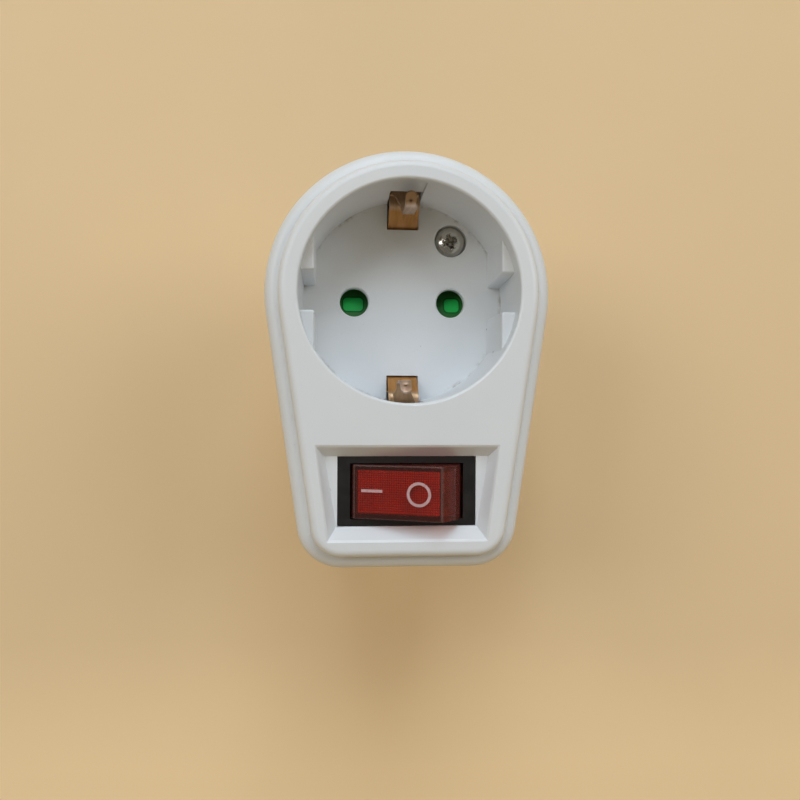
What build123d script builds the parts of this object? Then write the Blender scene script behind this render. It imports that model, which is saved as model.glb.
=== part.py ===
"""Switched adapter plug: a two-shell housing with an earthed round-pin socket in its front face,
a matching earthed plug on its back, and an illuminated rocker switch below the socket.

Row frame, in millimetres: +Z points out of the socket, the origin is the centre of the plug's pin face,
the two pins lie along X, and the switch is on the -Y side. The rocker is modelled pressed to its I side.
"""

import math
import os

from build123d import *

# Housing: a round head about the socket, straight tapering sides and a rounded foot.
HEAD_RIM = 6.1
SIDE_ANGLE = 8.3
FOOT_RIM = 5.55
FOOT_CORNER_R = 8.0
WALL = 2.2
HOUSING_DEPTH = 26.0
COVER_DEPTH = 14.0
PLATEAU_INSET = 2.6
PLATEAU_HEIGHT = 3.0
PLATEAU_FILLET = 1.4
SHOULDER_FILLET = 2.0
BACK_FILLET = 2.6
LIP_HEIGHT = 1.6
LIP_INSET = 1.0
LIP_GAP = 0.12

# Foot hooks on the cover.
HOOK_X = 9.0
HOOK_HALF = 2.0
HOOK = 1.2
HOOK_BARB = 0.8
HOOK_BARB_HEIGHT = 1.6
HOOK_DROP = 4.0
HOOK_GAP = 0.2

# Socket.
PIN_SPACING = 19.0
RECESS_R = 19.5
RECESS_DEPTH = 17.5
RECESS_FLOOR = 2.2
RECESS_WALL = 1.6
RECESS_RIM_FILLET = 0.5
SOCKET_HOLE_R = 2.8
HOLE_CHAMFER = 0.25
RIB_FACE_X = 16.8
RIB_TOP_DROP = 3.5
RIB_FILLET = 0.35
KEYWAY_HALF = 3.1
KEYWAY_LEAN = 0.9
EARTH_WINDOW_HALF = 3.1
EARTH_WINDOW_IN = 5.2
EARTH_SLOT_DEPTH = 1.4
EARTH_SLOT_DROP = 10.0
EARTH_GROOVE_DEPTH = 0.35
EARTH_GROOVE_DROP = 1.9
EARTH_PAD_WALL = 1.3

# Switch pocket: a four-sided bevel that follows the tapering sides.
SWITCH_X = -0.3
SWITCH_Y = -35.1
POCKET_DEPTH = 2.4
POCKET_PLATE = 1.8
POCKET_EDGE = 0.25
POCKET_BEVEL_TOP = 1.95
POCKET_BEVEL_FOOT = 2.15
POCKET_BEVEL_SIDE = 1.5
POCKET_FLOOR_MARGIN = 0.15
POCKET_TAPER = 2.1

# Plug.
PIN_R = 2.4
PIN_LENGTH = 19.0
PLUG_HEIGHT = 18.0
PLUG_R = 18.4
PLUG_FACE = 3.0
PLUG_WALL = 2.0
PLUG_EDGE_CHAMFER = 0.8
PLUG_FLAT_X = 16.2
PLUG_FLAT_HEIGHT = 14.8
PLUG_KEY_HALF = 2.5
PLUG_EARTH_SLOT_HALF = 3.1
PLUG_EARTH_SLOT_Y = 16.4

# Pin flanges, riveted ends and sheet metal.
STRIP = 0.6
STRIP_HALF = 1.1
PIN_COLLAR = 0.3
PIN_HOLE_GAP = 0.06
PIN_FLANGE_R = 3.4
PIN_FLANGE = 1.0
TENON_R = 1.4
RIVET_R = 2.1
RIVET = 0.6
TENON_GAP = 0.05
STRIP_PAD_R = 3.2

# Screw in the recess floor.
SCREW_X = 9.5
SCREW_Y = 12.3
SCREW_R = 1.5
SCREW_HEAD_R = 2.9
SCREW_HEAD_RIM = 0.7
SCREW_DOME = 1.3
SCREW_SINK = 0.25
SCREW_LENGTH = 14.0
SCREW_PITCH = 1.1
SCREW_THREAD_DEPTH = 0.25
SCREW_CROSS = 3.2
SCREW_CROSS_WIDTH = 0.8
SCREW_CROSS_DEPTH = 1.3
SCREW_CROSS_TURN = 20.0
COUNTERBORE_GAP = 0.3
SCREW_GAP = 0.06
SLEEVE_R = 4.3
SLEEVE_FLOOR = 2.2
BOSS_R = 2.9
BOSS_GAP = 0.1
SCREW_END_GAP = 0.6

# Contact carrier: the insulating block that holds the live and neutral contacts.
CARRIER_GAP = 0.2
CARRIER_HALF_Y = 9.0
CHAMBER_HALF_X = 3.6
CHAMBER_HALF_Y = 3.7
BARRIER = 0.6
BARRIER_GAP = 0.4
CARRIER_RIB_HALF = 2.0
RAIL = 0.9
RAIL_HEIGHT = 1.6
CONTACT_SHEET = 0.4
CONTACT_HALF_Y = 2.6
CONTACT_FOOT_X = 2.9
CONTACT_THROAT_X = 2.45
CONTACT_THROAT_DROP = 5.0
CONTACT_MOUTH_X = 3.1
CONTACT_TOP_GAP = 1.6

# Shutter.
SHUTTER_HEIGHT = 3.0
SHUTTER_PLATE = 1.1
SHUTTER_PAD_HALF_X = 3.15
SHUTTER_PAD_FRONT_Y = 3.15
SHUTTER_PAD_BACK_Y = -3.15
SHUTTER_LAND = 0.6
SHUTTER_RAMP_DROP = 1.9
SHUTTER_STROKE = 6.2
SLIDE_GAP = 0.15
SHUTTER_BAR_HALF_X = 2.5
SHUTTER_SPRING_R = 1.0
SHUTTER_SPRING_WIRE_R = 0.17
SHUTTER_SPRING_TURNS = 8
SHUTTER_SPRING_SOLID = 3.4
SPRING_SEAT = 1.2
SPRING_SEAT_HALF = 1.8
SPRING_END_GAP = 0.05

# Strips between the plug, the socket and the switch.
RISER_Y = -10.4
LOAD_RISER_Y = -12.2
FEED_SHIFT = 4.9
STRIP_REST_HALF = 0.6
FEED_REST_Y = -20.0

# Earth parts.
EARTH_HALF = 2.9
EARTH_THICK = 0.8
EARTH_SLOT_GAP = 0.15
PLUG_EARTH_FOOT_Z = 1.6
CLIP = 0.5
CLIP_BACK_GAP = 0.35
RAMP_FOOT_IN = 6.9
RAMP_TOP_IN = 2.7
RAMP_TOP_DROP = 14.0
SHELF_BACK_DROP = 13.4
ROOT_DROP = 11.8
SHOULDER_HALF = 2.4
SHOULDER_SHARE = 0.3
TONGUE_HALF = 1.2
TONGUE_X = 0.45
TONGUE_FACE_IN = 5.2
TONGUE_FACE_LOW_DROP = 10.0
TONGUE_FACE_TOP_DROP = 4.0
TONGUE_TIP_IN = 3.3
TONGUE_TIP_DROP = 1.6
EARTH_RIVET_Y = 11.0
EARTH_RIVET_R = 1.2
EARTH_RIVET_HEAD = 0.35

# Rocker switch.
BEZEL_HALF_X = 12.2
BEZEL_HALF_Y = 6.1
BEZEL_SINK = 0.15
BEZEL_GAP = 0.1
FRAME_FLOOR = 2.0
FRAME_FLANGE_OUT = 1.0
FRAME_FLANGE = 1.4
FRAME_WALL_X = 2.15
FRAME_WALL_Y = 1.15
POST = 1.6
POST_HALF_Y = 3.0
PIVOT_DROP = 2.65
ROCKER_TILT = 19.0
ROCKER_TOP = 6.0
ROCKER_END_GAP = 0.15
ROCKER_GAP_Y = 0.2
ROCKER_WALL = 0.9
ROCKER_SKIRT = 1.9
ROCKER_EDGE_FILLET = 0.3
TRUNNION_R = 1.1
TRUNNION_GAP = 0.06
TRUNNION = 0.8
STEM_R = 1.9
STEM_TOP = 0.8
STEM_LEVER_GAP = 3.0
STEM_RIB_HALF_X = 0.6
STEM_RIB_DROP = 1.6
MARK_DEPTH = 0.2
MARK_STROKE = 0.5
MARK_LINE_IN = 2.65
MARK_LINE_OUT = 6.5
MARK_LINE_Y = 0.25
MARK_RING_X = 3.85
MARK_RING_Y = -0.1
MARK_RING_R = 1.9
DIFFUSER = 0.8
DIFFUSER_GAP = 0.15
PLUNGER_R = 1.0
PLUNGER_GAP = 0.06
PLUNGER_LENGTH = 4.6
PLUNGER_TIP_GAP = 0.3
PLUNGER_SPRING_R = 0.7
PLUNGER_SPRING_WIRE_R = 0.13
PLUNGER_SPRING_TURNS = 4
LEVER_DROP = 8.0
LEVER_TILT = 8.0
LEVER = 0.6
LEVER_HALF_Y = 1.9
LEVER_LEFT_X = -5.0
LEVER_RISE = 1.0
LEVER_SHOULDER_X = 3.0
TIP_X = 6.8
TIP_R = 1.0
TIP = 0.4
TIP_GAP = 0.05
SHELF_GAP = 0.2
PIVOT_EDGE_GAP = 0.05
BLADE_HALF_Y = 2.0
BLADE_GAP = 0.1
LOAD_BLADE_X = 8.3
NEUTRAL_BLADE_X = -8.3
NEUTRAL_BLADE_TOP = 2.2
LAMP_GAP = 0.25
LAMP_R = 1.25
LAMP_LENGTH = 7.5
LAMP_RISE = 0.4
LAMP_X = 1.6
RESISTOR_R = 0.85
RESISTOR_LENGTH = 3.4
RESISTOR_X = -5.0
LEAD_R = 0.2

# Heights worked out from the sizes above.
FRONT_Z = PLUG_HEIGHT + HOUSING_DEPTH
SPLIT_Z = FRONT_Z - COVER_DEPTH
SHOULDER_Z = FRONT_Z - PLATEAU_HEIGHT
CEILING_Z = SHOULDER_Z - WALL
BACK_INNER_Z = PLUG_HEIGHT + WALL
RECESS_Z = FRONT_Z - RECESS_DEPTH
RECESS_UNDER_Z = RECESS_Z - RECESS_FLOOR
POCKET_Z = FRONT_Z - POCKET_DEPTH
POCKET_UNDER_Z = POCKET_Z - POCKET_PLATE
FLANGE_TOP_Z = PLUG_FACE + PIN_FLANGE
HEAD_SEAT_Z = RECESS_Z - SCREW_SINK - SCREW_HEAD_RIM - SCREW_DOME
SLEEVE_Z = HEAD_SEAT_Z - SLEEVE_FLOOR
SHUTTER_Z = RECESS_UNDER_Z - SLIDE_GAP - SHUTTER_HEIGHT
CARRIER_TOP_Z = SHUTTER_Z - SLIDE_GAP
BARRIER_Z = FLANGE_TOP_Z + STRIP + RIVET + BARRIER_GAP
LOAD_PAD_Z = BARRIER_Z + BARRIER
CLIP_Z = CARRIER_TOP_Z - EARTH_RIVET_HEAD - CLIP
WEB_Z = CLIP_Z - EARTH_THICK
RUN_Z = (BACK_INNER_Z + RECESS_UNDER_Z - STRIP) / 2
BEZEL_TOP_Z = POCKET_Z - BEZEL_SINK
PIVOT_Z = BEZEL_TOP_Z - PIVOT_DROP
LEVER_Z = PIVOT_Z - LEVER_DROP
TIP_FALL = (TIP_X + TIP_R) * math.sin(math.radians(LEVER_TILT))
FIXED_TIP_Z = LEVER_Z + (LEVER_RISE - TIP) * math.cos(math.radians(LEVER_TILT)) - TIP_FALL - TIP_GAP
SHELF_Z = FIXED_TIP_Z - TIP
FRAME_FLOOR_Z = SHELF_Z - STRIP - SHELF_GAP
FRAME_Z = FRAME_FLOOR_Z - FRAME_FLOOR
LAMP_Z = FRAME_FLOOR_Z + LAMP_RISE + LAMP_R

# Other places and sizes worked out from them.
LIVE_X = PIN_SPACING / 2
FEED_X = LIVE_X - FEED_SHIFT
HEAD_R = RECESS_R + HEAD_RIM
EARTH_SLOT_BACK_Y = RECESS_R + EARTH_SLOT_DEPTH
EARTH_WINDOW_IN_Y = RECESS_R - EARTH_WINDOW_IN
POCKET_TOP_Y = SWITCH_Y + BEZEL_HALF_Y + BEZEL_GAP + POCKET_BEVEL_TOP
POCKET_FOOT_Y = SWITCH_Y - BEZEL_HALF_Y - BEZEL_GAP - POCKET_BEVEL_FOOT
POCKET_FLOOR_FOOT_HALF = BEZEL_HALF_X + BEZEL_GAP + POCKET_FLOOR_MARGIN
POCKET_FLOOR_TOP_HALF = POCKET_FLOOR_FOOT_HALF + POCKET_TAPER
FOOT_Y = POCKET_FOOT_Y - FOOT_RIM
SLOT_X = PLUG_EARTH_SLOT_HALF
CAVITY_R = PLUG_R - PLUG_WALL
CAVITY_X = PLUG_FLAT_X - PLUG_WALL
CAVITY_Y = PLUG_EARTH_SLOT_Y - PLUG_WALL
CARRIER_HALF_X = CAVITY_X - CARRIER_GAP
OPENING_HALF_X = BEZEL_HALF_X - FRAME_WALL_X
OPENING_HALF_Y = BEZEL_HALF_Y - FRAME_WALL_Y
ROCKER_HALF_Y = OPENING_HALF_Y - ROCKER_GAP_Y
ROCKER_END_R = OPENING_HALF_X - ROCKER_END_GAP
STEM_DROP = LEVER_DROP - STEM_LEVER_GAP
PLUNGER_REACH = LEVER_DROP - LEVER - PLUNGER_TIP_GAP
LAMP_Y = OPENING_HALF_Y - LAMP_R - LAMP_GAP
SPRING_AXIS_Z = SHUTTER_Z + SHUTTER_HEIGHT / 2
SHUTTER_SPRING_LENGTH = SHUTTER_STROKE + SHUTTER_SPRING_SOLID
SPRING_STOP_Y = SHUTTER_PAD_BACK_Y - SHUTTER_SPRING_LENGTH
CLIP_BACK_Y = EARTH_SLOT_BACK_Y - CLIP_BACK_GAP - CLIP / 2
RAMP_FOOT_Y = EARTH_SLOT_BACK_Y - RAMP_FOOT_IN
RAMP_TOP_Y = EARTH_SLOT_BACK_Y - RAMP_TOP_IN
TONGUE_FACE_Y = EARTH_SLOT_BACK_Y - TONGUE_FACE_IN
TONGUE_TIP_Y = EARTH_SLOT_BACK_Y - TONGUE_TIP_IN
PLUG_EARTH_Y = PLUG_EARTH_SLOT_Y + EARTH_SLOT_GAP + EARTH_THICK / 2


def block(x0, x1, y0, y1, z0, z1):
    """A box between two corners."""
    low = (min(x0, x1), min(y0, y1), min(z0, z1))
    size = (abs(x1 - x0), abs(y1 - y0), abs(z1 - z0))
    return Pos(*low) * Box(*size, align=(Align.MIN, Align.MIN, Align.MIN))


def rod(r, x, y, z0, z1):
    """An upright cylinder."""
    return Pos(x, y, min(z0, z1)) * Cylinder(r, abs(z1 - z0), align=(Align.CENTER, Align.CENTER, Align.MIN))


def ribbon(points, thickness, half_width, plane, offset):
    """A bent strip: its centre line lies in the plane, and its width runs along the plane's normal."""
    left = []
    right = []
    for i, (px, py) in enumerate(points):
        before = points[max(i - 1, 0)]
        after = points[min(i + 1, len(points) - 1)]
        here = Vector(px, py)
        a = (here - Vector(*before)).normalized() if i > 0 else (Vector(*after) - here).normalized()
        b = (Vector(*after) - here).normalized() if i < len(points) - 1 else a
        bisector = (Vector(-a.Y, a.X) + Vector(-b.Y, b.X)).normalized()
        reach = thickness / 2 / bisector.dot(Vector(-a.Y, a.X))
        left.append(here + bisector * reach)
        right.append(here - bisector * reach)
    corners = [(v.X, v.Y) for v in left + right[::-1]]
    face = plane.offset(offset) * make_face(Polyline(*corners, close=True))
    return extrude(face, half_width, both=True)


def coil(r, wire_r, turns, length):
    """A round-wire compression spring along +Z from the origin, with its wire's end faces at both ends."""
    pitch = (length - 2 * wire_r) / turns
    path = Pos(0, 0, wire_r) * Helix(pitch, pitch * turns, r)
    section = Plane(path @ 0, z_dir=path % 0) * Circle(wire_r)
    return sweep(section, path)


def wire(points, r):
    """A stiff lead: straight runs with round elbows."""
    lead = None
    for start, end in zip(points, points[1:]):
        a = Vector(*start)
        run = Vector(*end) - a
        piece = Plane(a, z_dir=run) * Cylinder(r, run.length, align=(Align.CENTER, Align.CENTER, Align.MIN))
        lead = piece if lead is None else lead + piece
    for elbow in points[1:-1]:
        lead += Pos(*elbow) * Sphere(r)
    return lead


def outline(inset):
    """The housing's outline, moved inwards by inset."""
    r = HEAD_R - inset
    a = math.radians(SIDE_ANGLE)
    foot = FOOT_Y + inset
    side = (r * math.cos(a), -r * math.sin(a))
    corner = ((r + foot * math.sin(a)) / math.cos(a), foot)
    edges = [
        ThreePointArc((-side[0], side[1]), (0, r), side),
        Line(side, corner),
        Line(corner, (-corner[0], foot)),
        Line((-corner[0], foot), (-side[0], side[1])),
    ]
    face = make_face(edges)
    corners = face.vertices().sort_by(Axis.Y)[:2]
    return fillet(corners, FOOT_CORNER_R - inset)


def slab(inset, z0, z1):
    """The outline as a solid between two heights."""
    return Pos(0, 0, z0) * extrude(outline(inset), z1 - z0)


def pocket_face(spread, z):
    """The pocket's four-sided section: its floor, moved outwards by spread times each bevel's width."""
    reach = BEZEL_HALF_Y + BEZEL_GAP
    top_y = SWITCH_Y + reach + spread * POCKET_BEVEL_TOP
    foot_y = SWITCH_Y - reach - spread * POCKET_BEVEL_FOOT
    top_half = POCKET_FLOOR_TOP_HALF + spread * POCKET_BEVEL_SIDE
    foot_half = POCKET_FLOOR_FOOT_HALF + spread * POCKET_BEVEL_SIDE
    points = [(-top_half, top_y), (top_half, top_y), (foot_half, foot_y), (-foot_half, foot_y)]
    return Pos(SWITCH_X, 0, z) * make_face(Polyline(*points, close=True))


def switch_pocket():
    """The bevelled pocket that the switch stands in, with its outer edge taken off."""
    edge = POCKET_EDGE / POCKET_DEPTH
    bevel = loft([pocket_face(0, POCKET_Z), pocket_face(1, FRONT_Z)], ruled=True)
    rim = [pocket_face(1 - edge, FRONT_Z - POCKET_EDGE), pocket_face(1 + edge, FRONT_Z)]
    return bevel + loft(rim, ruled=True)


def cover_hook(side):
    """One of the two tabs at the foot that hook into the rear shell."""
    x = side * HOOK_X
    y = FOOT_Y + WALL + HOOK_GAP
    low = SPLIT_Z - HOOK_DROP
    tab = block(x - HOOK_HALF, x + HOOK_HALF, y, y + HOOK, low, CEILING_Z + WALL / 2)
    return tab + block(x - HOOK_HALF, x + HOOK_HALF, y - HOOK_BARB, y, low, low + HOOK_BARB_HEIGHT)


def cover_shell():
    """The front shell before its socket is cut: stepped outside, hollow inside, switch pocket."""
    outer = slab(0, SPLIT_Z, SHOULDER_Z)
    outer = fillet(outer.faces().sort_by(Axis.Z)[-1].edges(), SHOULDER_FILLET)
    plateau = slab(PLATEAU_INSET, SPLIT_Z + WALL, FRONT_Z)
    plateau = fillet(plateau.faces().sort_by(Axis.Z)[-1].edges(), PLATEAU_FILLET)
    hollow = slab(WALL, SPLIT_Z, CEILING_Z) + slab(PLATEAU_INSET + WALL, SPLIT_Z, FRONT_Z - WALL)
    rebate = slab(LIP_INSET, SPLIT_Z, SPLIT_Z + LIP_HEIGHT + LIP_GAP)
    shell = outer + plateau - hollow - rebate
    backing = slab(PLATEAU_INSET + WALL / 2, POCKET_UNDER_Z, FRONT_Z - WALL / 2)
    backing &= block(-HEAD_R, HEAD_R, FOOT_Y, POCKET_TOP_Y + WALL, POCKET_UNDER_Z, FRONT_Z)
    shell = shell + backing - switch_pocket()
    return shell - Pos(SWITCH_X, SWITCH_Y, 0) * block(
        -BEZEL_HALF_X - BEZEL_GAP,
        BEZEL_HALF_X + BEZEL_GAP,
        -BEZEL_HALF_Y - BEZEL_GAP,
        BEZEL_HALF_Y + BEZEL_GAP,
        POCKET_UNDER_Z,
        FRONT_Z,
    )


def on_rib(edge):
    """Whether an edge is one of the guide ribs' exposed straight edges."""
    middle = edge.center()
    if abs(middle.X) < RIB_FACE_X - 0.01 or abs(middle.Y) > RECESS_R or middle.Z < RECESS_Z + 0.01:
        return False
    keyway_ends = (-KEYWAY_HALF, KEYWAY_HALF + KEYWAY_LEAN / 2)
    upright = abs(abs(middle.X) - RIB_FACE_X) < 0.01 and min(abs(middle.Y - y) for y in keyway_ends) < 0.01
    level = abs(middle.Z - (FRONT_Z - RIB_TOP_DROP)) < 0.01 and edge.geom_type == GeomType.LINE
    return upright or level


def front_cover():
    """Front shell with its socket cup, guide ribs, earth windows and screw sleeve."""
    cup_top = FRONT_Z - WALL / 2
    cup = rod(RECESS_R + RECESS_WALL, 0, 0, RECESS_UNDER_Z, cup_top)
    pad_x = EARTH_WINDOW_HALF + EARTH_PAD_WALL
    pad_y = EARTH_SLOT_BACK_Y + EARTH_PAD_WALL
    cup += block(-pad_x, pad_x, -pad_y, pad_y, RECESS_UNDER_Z, cup_top)
    cup += rod(SLEEVE_R, SCREW_X, SCREW_Y, SLEEVE_Z, RECESS_Z)
    recess = rod(RECESS_R, 0, 0, RECESS_Z, FRONT_Z)
    rib_top = FRONT_Z - RIB_TOP_DROP
    middle = block(-RIB_FACE_X, RIB_FACE_X, -HEAD_R, HEAD_R, RECESS_Z, FRONT_Z)
    keyway_ends = [
        (-KEYWAY_HALF, RECESS_Z),
        (KEYWAY_HALF, RECESS_Z),
        (KEYWAY_HALF + KEYWAY_LEAN, rib_top),
        (-KEYWAY_HALF, rib_top),
    ]
    keyways = extrude(Plane.YZ * make_face(Polyline(*keyway_ends, close=True)), HEAD_R, both=True)
    above_ribs = block(-HEAD_R, HEAD_R, -HEAD_R, HEAD_R, rib_top, FRONT_Z)
    cover = cover_shell() + cup - (recess & (middle + keyways + above_ribs))
    rim = [
        e
        for e in cover.edges().filter_by(GeomType.CIRCLE)
        if abs(e.radius - RECESS_R) < 0.01 and abs(e.center().Z - FRONT_Z) < 0.01
    ]
    cover = fillet(rim, RECESS_RIM_FILLET)
    rib_edges = [e for e in cover.edges() if on_rib(e)]
    cover = fillet(rib_edges, RIB_FILLET)
    window = EARTH_WINDOW_HALF
    groove_y = RECESS_R + EARTH_GROOVE_DEPTH
    slot_z = FRONT_Z - EARTH_SLOT_DROP
    for side in (-1, 1):
        in_y = side * EARTH_WINDOW_IN_Y
        cover -= block(-window, window, in_y, side * EARTH_SLOT_BACK_Y, RECESS_UNDER_Z, slot_z)
        cover -= block(-window, window, in_y, side * groove_y, slot_z, FRONT_Z - EARTH_GROOVE_DROP)
        cover -= rod(SOCKET_HOLE_R, side * LIVE_X, 0, RECESS_UNDER_Z, RECESS_Z)
        lead_in = Cone(SOCKET_HOLE_R, SOCKET_HOLE_R + HOLE_CHAMFER, HOLE_CHAMFER)
        cover -= Pos(side * LIVE_X, 0, RECESS_Z - HOLE_CHAMFER / 2) * lead_in
        cover += cover_hook(side)
    stop_y = SPRING_STOP_Y
    cover += block(
        -SPRING_SEAT_HALF, SPRING_SEAT_HALF, stop_y - SPRING_SEAT, stop_y, SHUTTER_Z, RECESS_UNDER_Z
    )
    cover -= rod(SCREW_HEAD_R + COUNTERBORE_GAP, SCREW_X, SCREW_Y, HEAD_SEAT_Z, RECESS_Z)
    return cover - rod(SCREW_R + SCREW_GAP, SCREW_X, SCREW_Y, SLEEVE_Z, HEAD_SEAT_Z)


def plug_body():
    """The plug's outside: round, with side flats, keys and two earth slots."""
    body = rod(PLUG_R, 0, 0, 0, BACK_INNER_Z)
    body = chamfer(body.faces().sort_by(Axis.Z)[0].edges(), PLUG_EDGE_CHAMFER)
    for side in (-1, 1):
        flat = block(side * PLUG_FLAT_X, side * HEAD_R, -HEAD_R, HEAD_R, 0, PLUG_FLAT_HEIGHT)
        body -= flat - block(0, side * HEAD_R, -PLUG_KEY_HALF, PLUG_KEY_HALF, 0, PLUG_FLAT_HEIGHT)
        body -= block(-SLOT_X, SLOT_X, side * PLUG_EARTH_SLOT_Y, side * HEAD_R, 0, PLUG_HEIGHT)
    return body


def plug_cavity():
    """The hollow in the plug that takes the carrier and the strips."""
    cavity = rod(CAVITY_R, 0, 0, PLUG_FACE, BACK_INNER_Z)
    return cavity & block(-CAVITY_X, CAVITY_X, -CAVITY_Y, CAVITY_Y, PLUG_FACE, BACK_INNER_Z)


def rear_shell():
    """Rear shell with the plug body, the screw boss, the switch posts and the strips' rests."""
    back = slab(0, PLUG_HEIGHT, SPLIT_Z)
    back = fillet(back.faces().sort_by(Axis.Z)[0].edges(), BACK_FILLET)
    back -= slab(WALL, BACK_INNER_Z, SPLIT_Z)
    lip_low = SPLIT_Z - WALL
    lip_top = SPLIT_Z + LIP_HEIGHT
    lip = slab(LIP_INSET + LIP_GAP, lip_low, lip_top) - slab(WALL, lip_low, lip_top)
    shell = back + lip + plug_body() - plug_cavity()

    boss = rod(BOSS_R, SCREW_X, SCREW_Y, PLUG_FACE, SLEEVE_Z - BOSS_GAP)
    boss &= rod(CAVITY_R + PLUG_WALL / 2, 0, 0, PLUG_FACE, SLEEVE_Z)
    shell += boss
    screw_end = HEAD_SEAT_Z - SCREW_LENGTH - SCREW_END_GAP
    shell -= rod(SCREW_R + SCREW_GAP, SCREW_X, SCREW_Y, screw_end, SLEEVE_Z)
    for side in (-1, 1):
        shell -= rod(PIN_R + PIN_COLLAR + PIN_HOLE_GAP, side * LIVE_X, 0, 0, PLUG_FACE)
        slot_out = PLUG_EARTH_Y + EARTH_THICK / 2 + EARTH_SLOT_GAP
        shell -= block(-SLOT_X, SLOT_X, side * PLUG_EARTH_SLOT_Y, side * slot_out, 0, BACK_INNER_Z)
        web_end = CLIP_BACK_Y + CLIP
        shell -= block(-SLOT_X, SLOT_X, side * CAVITY_Y, side * web_end, WEB_Z - EARTH_SLOT_GAP, BACK_INNER_Z)
        x = side * HOOK_X
        foot = FOOT_Y + WALL
        low = SPLIT_Z - HOOK_DROP - HOOK_GAP
        shell -= block(
            x - HOOK_HALF - HOOK_GAP,
            x + HOOK_HALF + HOOK_GAP,
            foot,
            foot - HOOK_BARB,
            low,
            low + HOOK_BARB_HEIGHT + 2 * HOOK_GAP,
        )
        post_x = SWITCH_X + side * (BEZEL_HALF_X + BEZEL_GAP)
        shell += block(
            post_x,
            post_x + side * POST,
            SWITCH_Y - POST_HALF_Y,
            SWITCH_Y + POST_HALF_Y,
            BACK_INNER_Z,
            POCKET_UNDER_Z - FRAME_FLANGE,
        )
    for x in (-LIVE_X, FEED_X, LIVE_X):
        shell += block(
            x - STRIP_HALF,
            x + STRIP_HALF,
            FEED_REST_Y - STRIP_REST_HALF,
            FEED_REST_Y + STRIP_REST_HALF,
            BACK_INNER_Z,
            RUN_Z,
        )
    return shell


def assembly_screw():
    """Domed cross-recess screw that holds the shells together."""
    rim_z = HEAD_SEAT_Z + SCREW_HEAD_RIM
    dome_r = (SCREW_HEAD_R**2 + SCREW_DOME**2) / (2 * SCREW_DOME)
    dome = Pos(0, 0, rim_z + SCREW_DOME - dome_r) * Sphere(dome_r)
    head = rod(SCREW_HEAD_R, 0, 0, HEAD_SEAT_Z, rim_z + SCREW_DOME) & (
        rod(SCREW_HEAD_R, 0, 0, HEAD_SEAT_Z, rim_z) + dome
    )
    core_r = SCREW_R - SCREW_THREAD_DEPTH
    low = HEAD_SEAT_Z - SCREW_LENGTH
    turns = int(SCREW_LENGTH / SCREW_PITCH) - 1
    point_r = core_r / 2
    profile = [(0, low), (point_r, low)]
    for turn in range(turns):
        z = low + (turn + 0.5) * SCREW_PITCH
        profile += [(core_r, z), (SCREW_R, z + SCREW_PITCH / 2)]
    profile += [(core_r, low + (turns + 0.5) * SCREW_PITCH), (core_r, HEAD_SEAT_Z), (0, HEAD_SEAT_Z)]
    shank = revolve(Plane.XZ * make_face(Polyline(*profile, close=True)), Axis.Z)
    screw = head + shank
    top = rim_z + SCREW_DOME
    for turn in (0, 90):
        arm = Box(SCREW_CROSS, SCREW_CROSS_WIDTH, 2 * SCREW_CROSS_DEPTH)
        screw -= Pos(0, 0, top) * Rot(0, 0, SCREW_CROSS_TURN + turn) * arm
    return Pos(SCREW_X, SCREW_Y, 0) * screw


def plug_pin(side):
    """A solid plug pin with its round tip, collar, flange, tenon and riveted end."""
    x = side * LIVE_X
    pin = rod(PIN_R, x, 0, PIN_R - PIN_LENGTH, PLUG_FACE)
    pin += Pos(x, 0, PIN_R - PIN_LENGTH) * Sphere(PIN_R)
    pin += rod(PIN_R + PIN_COLLAR, x, 0, 0, PLUG_FACE)
    pin += rod(PIN_FLANGE_R, x, 0, PLUG_FACE, FLANGE_TOP_Z)
    head_z = pin_head_z(side)
    pin += rod(TENON_R, x, 0, FLANGE_TOP_Z, head_z)
    head = rod(RIVET_R, x, 0, head_z, head_z + RIVET)
    return pin + fillet(head.faces().sort_by(Axis.Z)[-1].edges(), RIVET / 2)


def pin_head_z(side):
    """Height of a pin's riveted head: the neutral pin also clamps its socket contact."""
    stack = STRIP if side > 0 else STRIP + CONTACT_SHEET
    return FLANGE_TOP_Z + stack


def pad(x, z0, z1):
    """A round strip end about a pin's axis."""
    return rod(STRIP_PAD_R, x, 0, z0, z1)


def strip_run(x, riser_y, low_z, end_x):
    """A strip that leaves a pad, climbs beside the carrier, runs to the switch and turns under a blade."""
    half = STRIP / 2
    path = [(0, low_z + half), (riser_y, low_z + half), (riser_y, RUN_Z + half), (SWITCH_Y, RUN_Z + half)]
    run = ribbon(path, STRIP, STRIP_HALF, Plane.YZ, x)
    low = min(x, end_x) - STRIP_HALF
    high = max(x, end_x) + STRIP_HALF
    return run + block(low, high, SWITCH_Y - BLADE_HALF_Y, SWITCH_Y + BLADE_HALF_Y, RUN_Z, RUN_Z + STRIP)


def live_feed_strip():
    """Live pin to the switch's centre blade."""
    strip = strip_run(FEED_X, RISER_Y, FLANGE_TOP_Z, SWITCH_X)
    strip += pad(LIVE_X, FLANGE_TOP_Z, FLANGE_TOP_Z + STRIP)
    strip += block(FEED_X - STRIP_HALF, LIVE_X, -STRIP_PAD_R, 0, FLANGE_TOP_Z, FLANGE_TOP_Z + STRIP)
    return strip - rod(TENON_R + TENON_GAP, LIVE_X, 0, FLANGE_TOP_Z, FLANGE_TOP_Z + STRIP)


def live_load_strip():
    """Switch's load blade to the live socket contact."""
    strip = strip_run(LIVE_X, LOAD_RISER_Y, LOAD_PAD_Z, SWITCH_X + LOAD_BLADE_X)
    return strip + block(
        LIVE_X - CONTACT_FOOT_X,
        LIVE_X + CONTACT_FOOT_X,
        -CONTACT_HALF_Y,
        CONTACT_HALF_Y,
        LOAD_PAD_Z,
        LOAD_PAD_Z + STRIP,
    )


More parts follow.
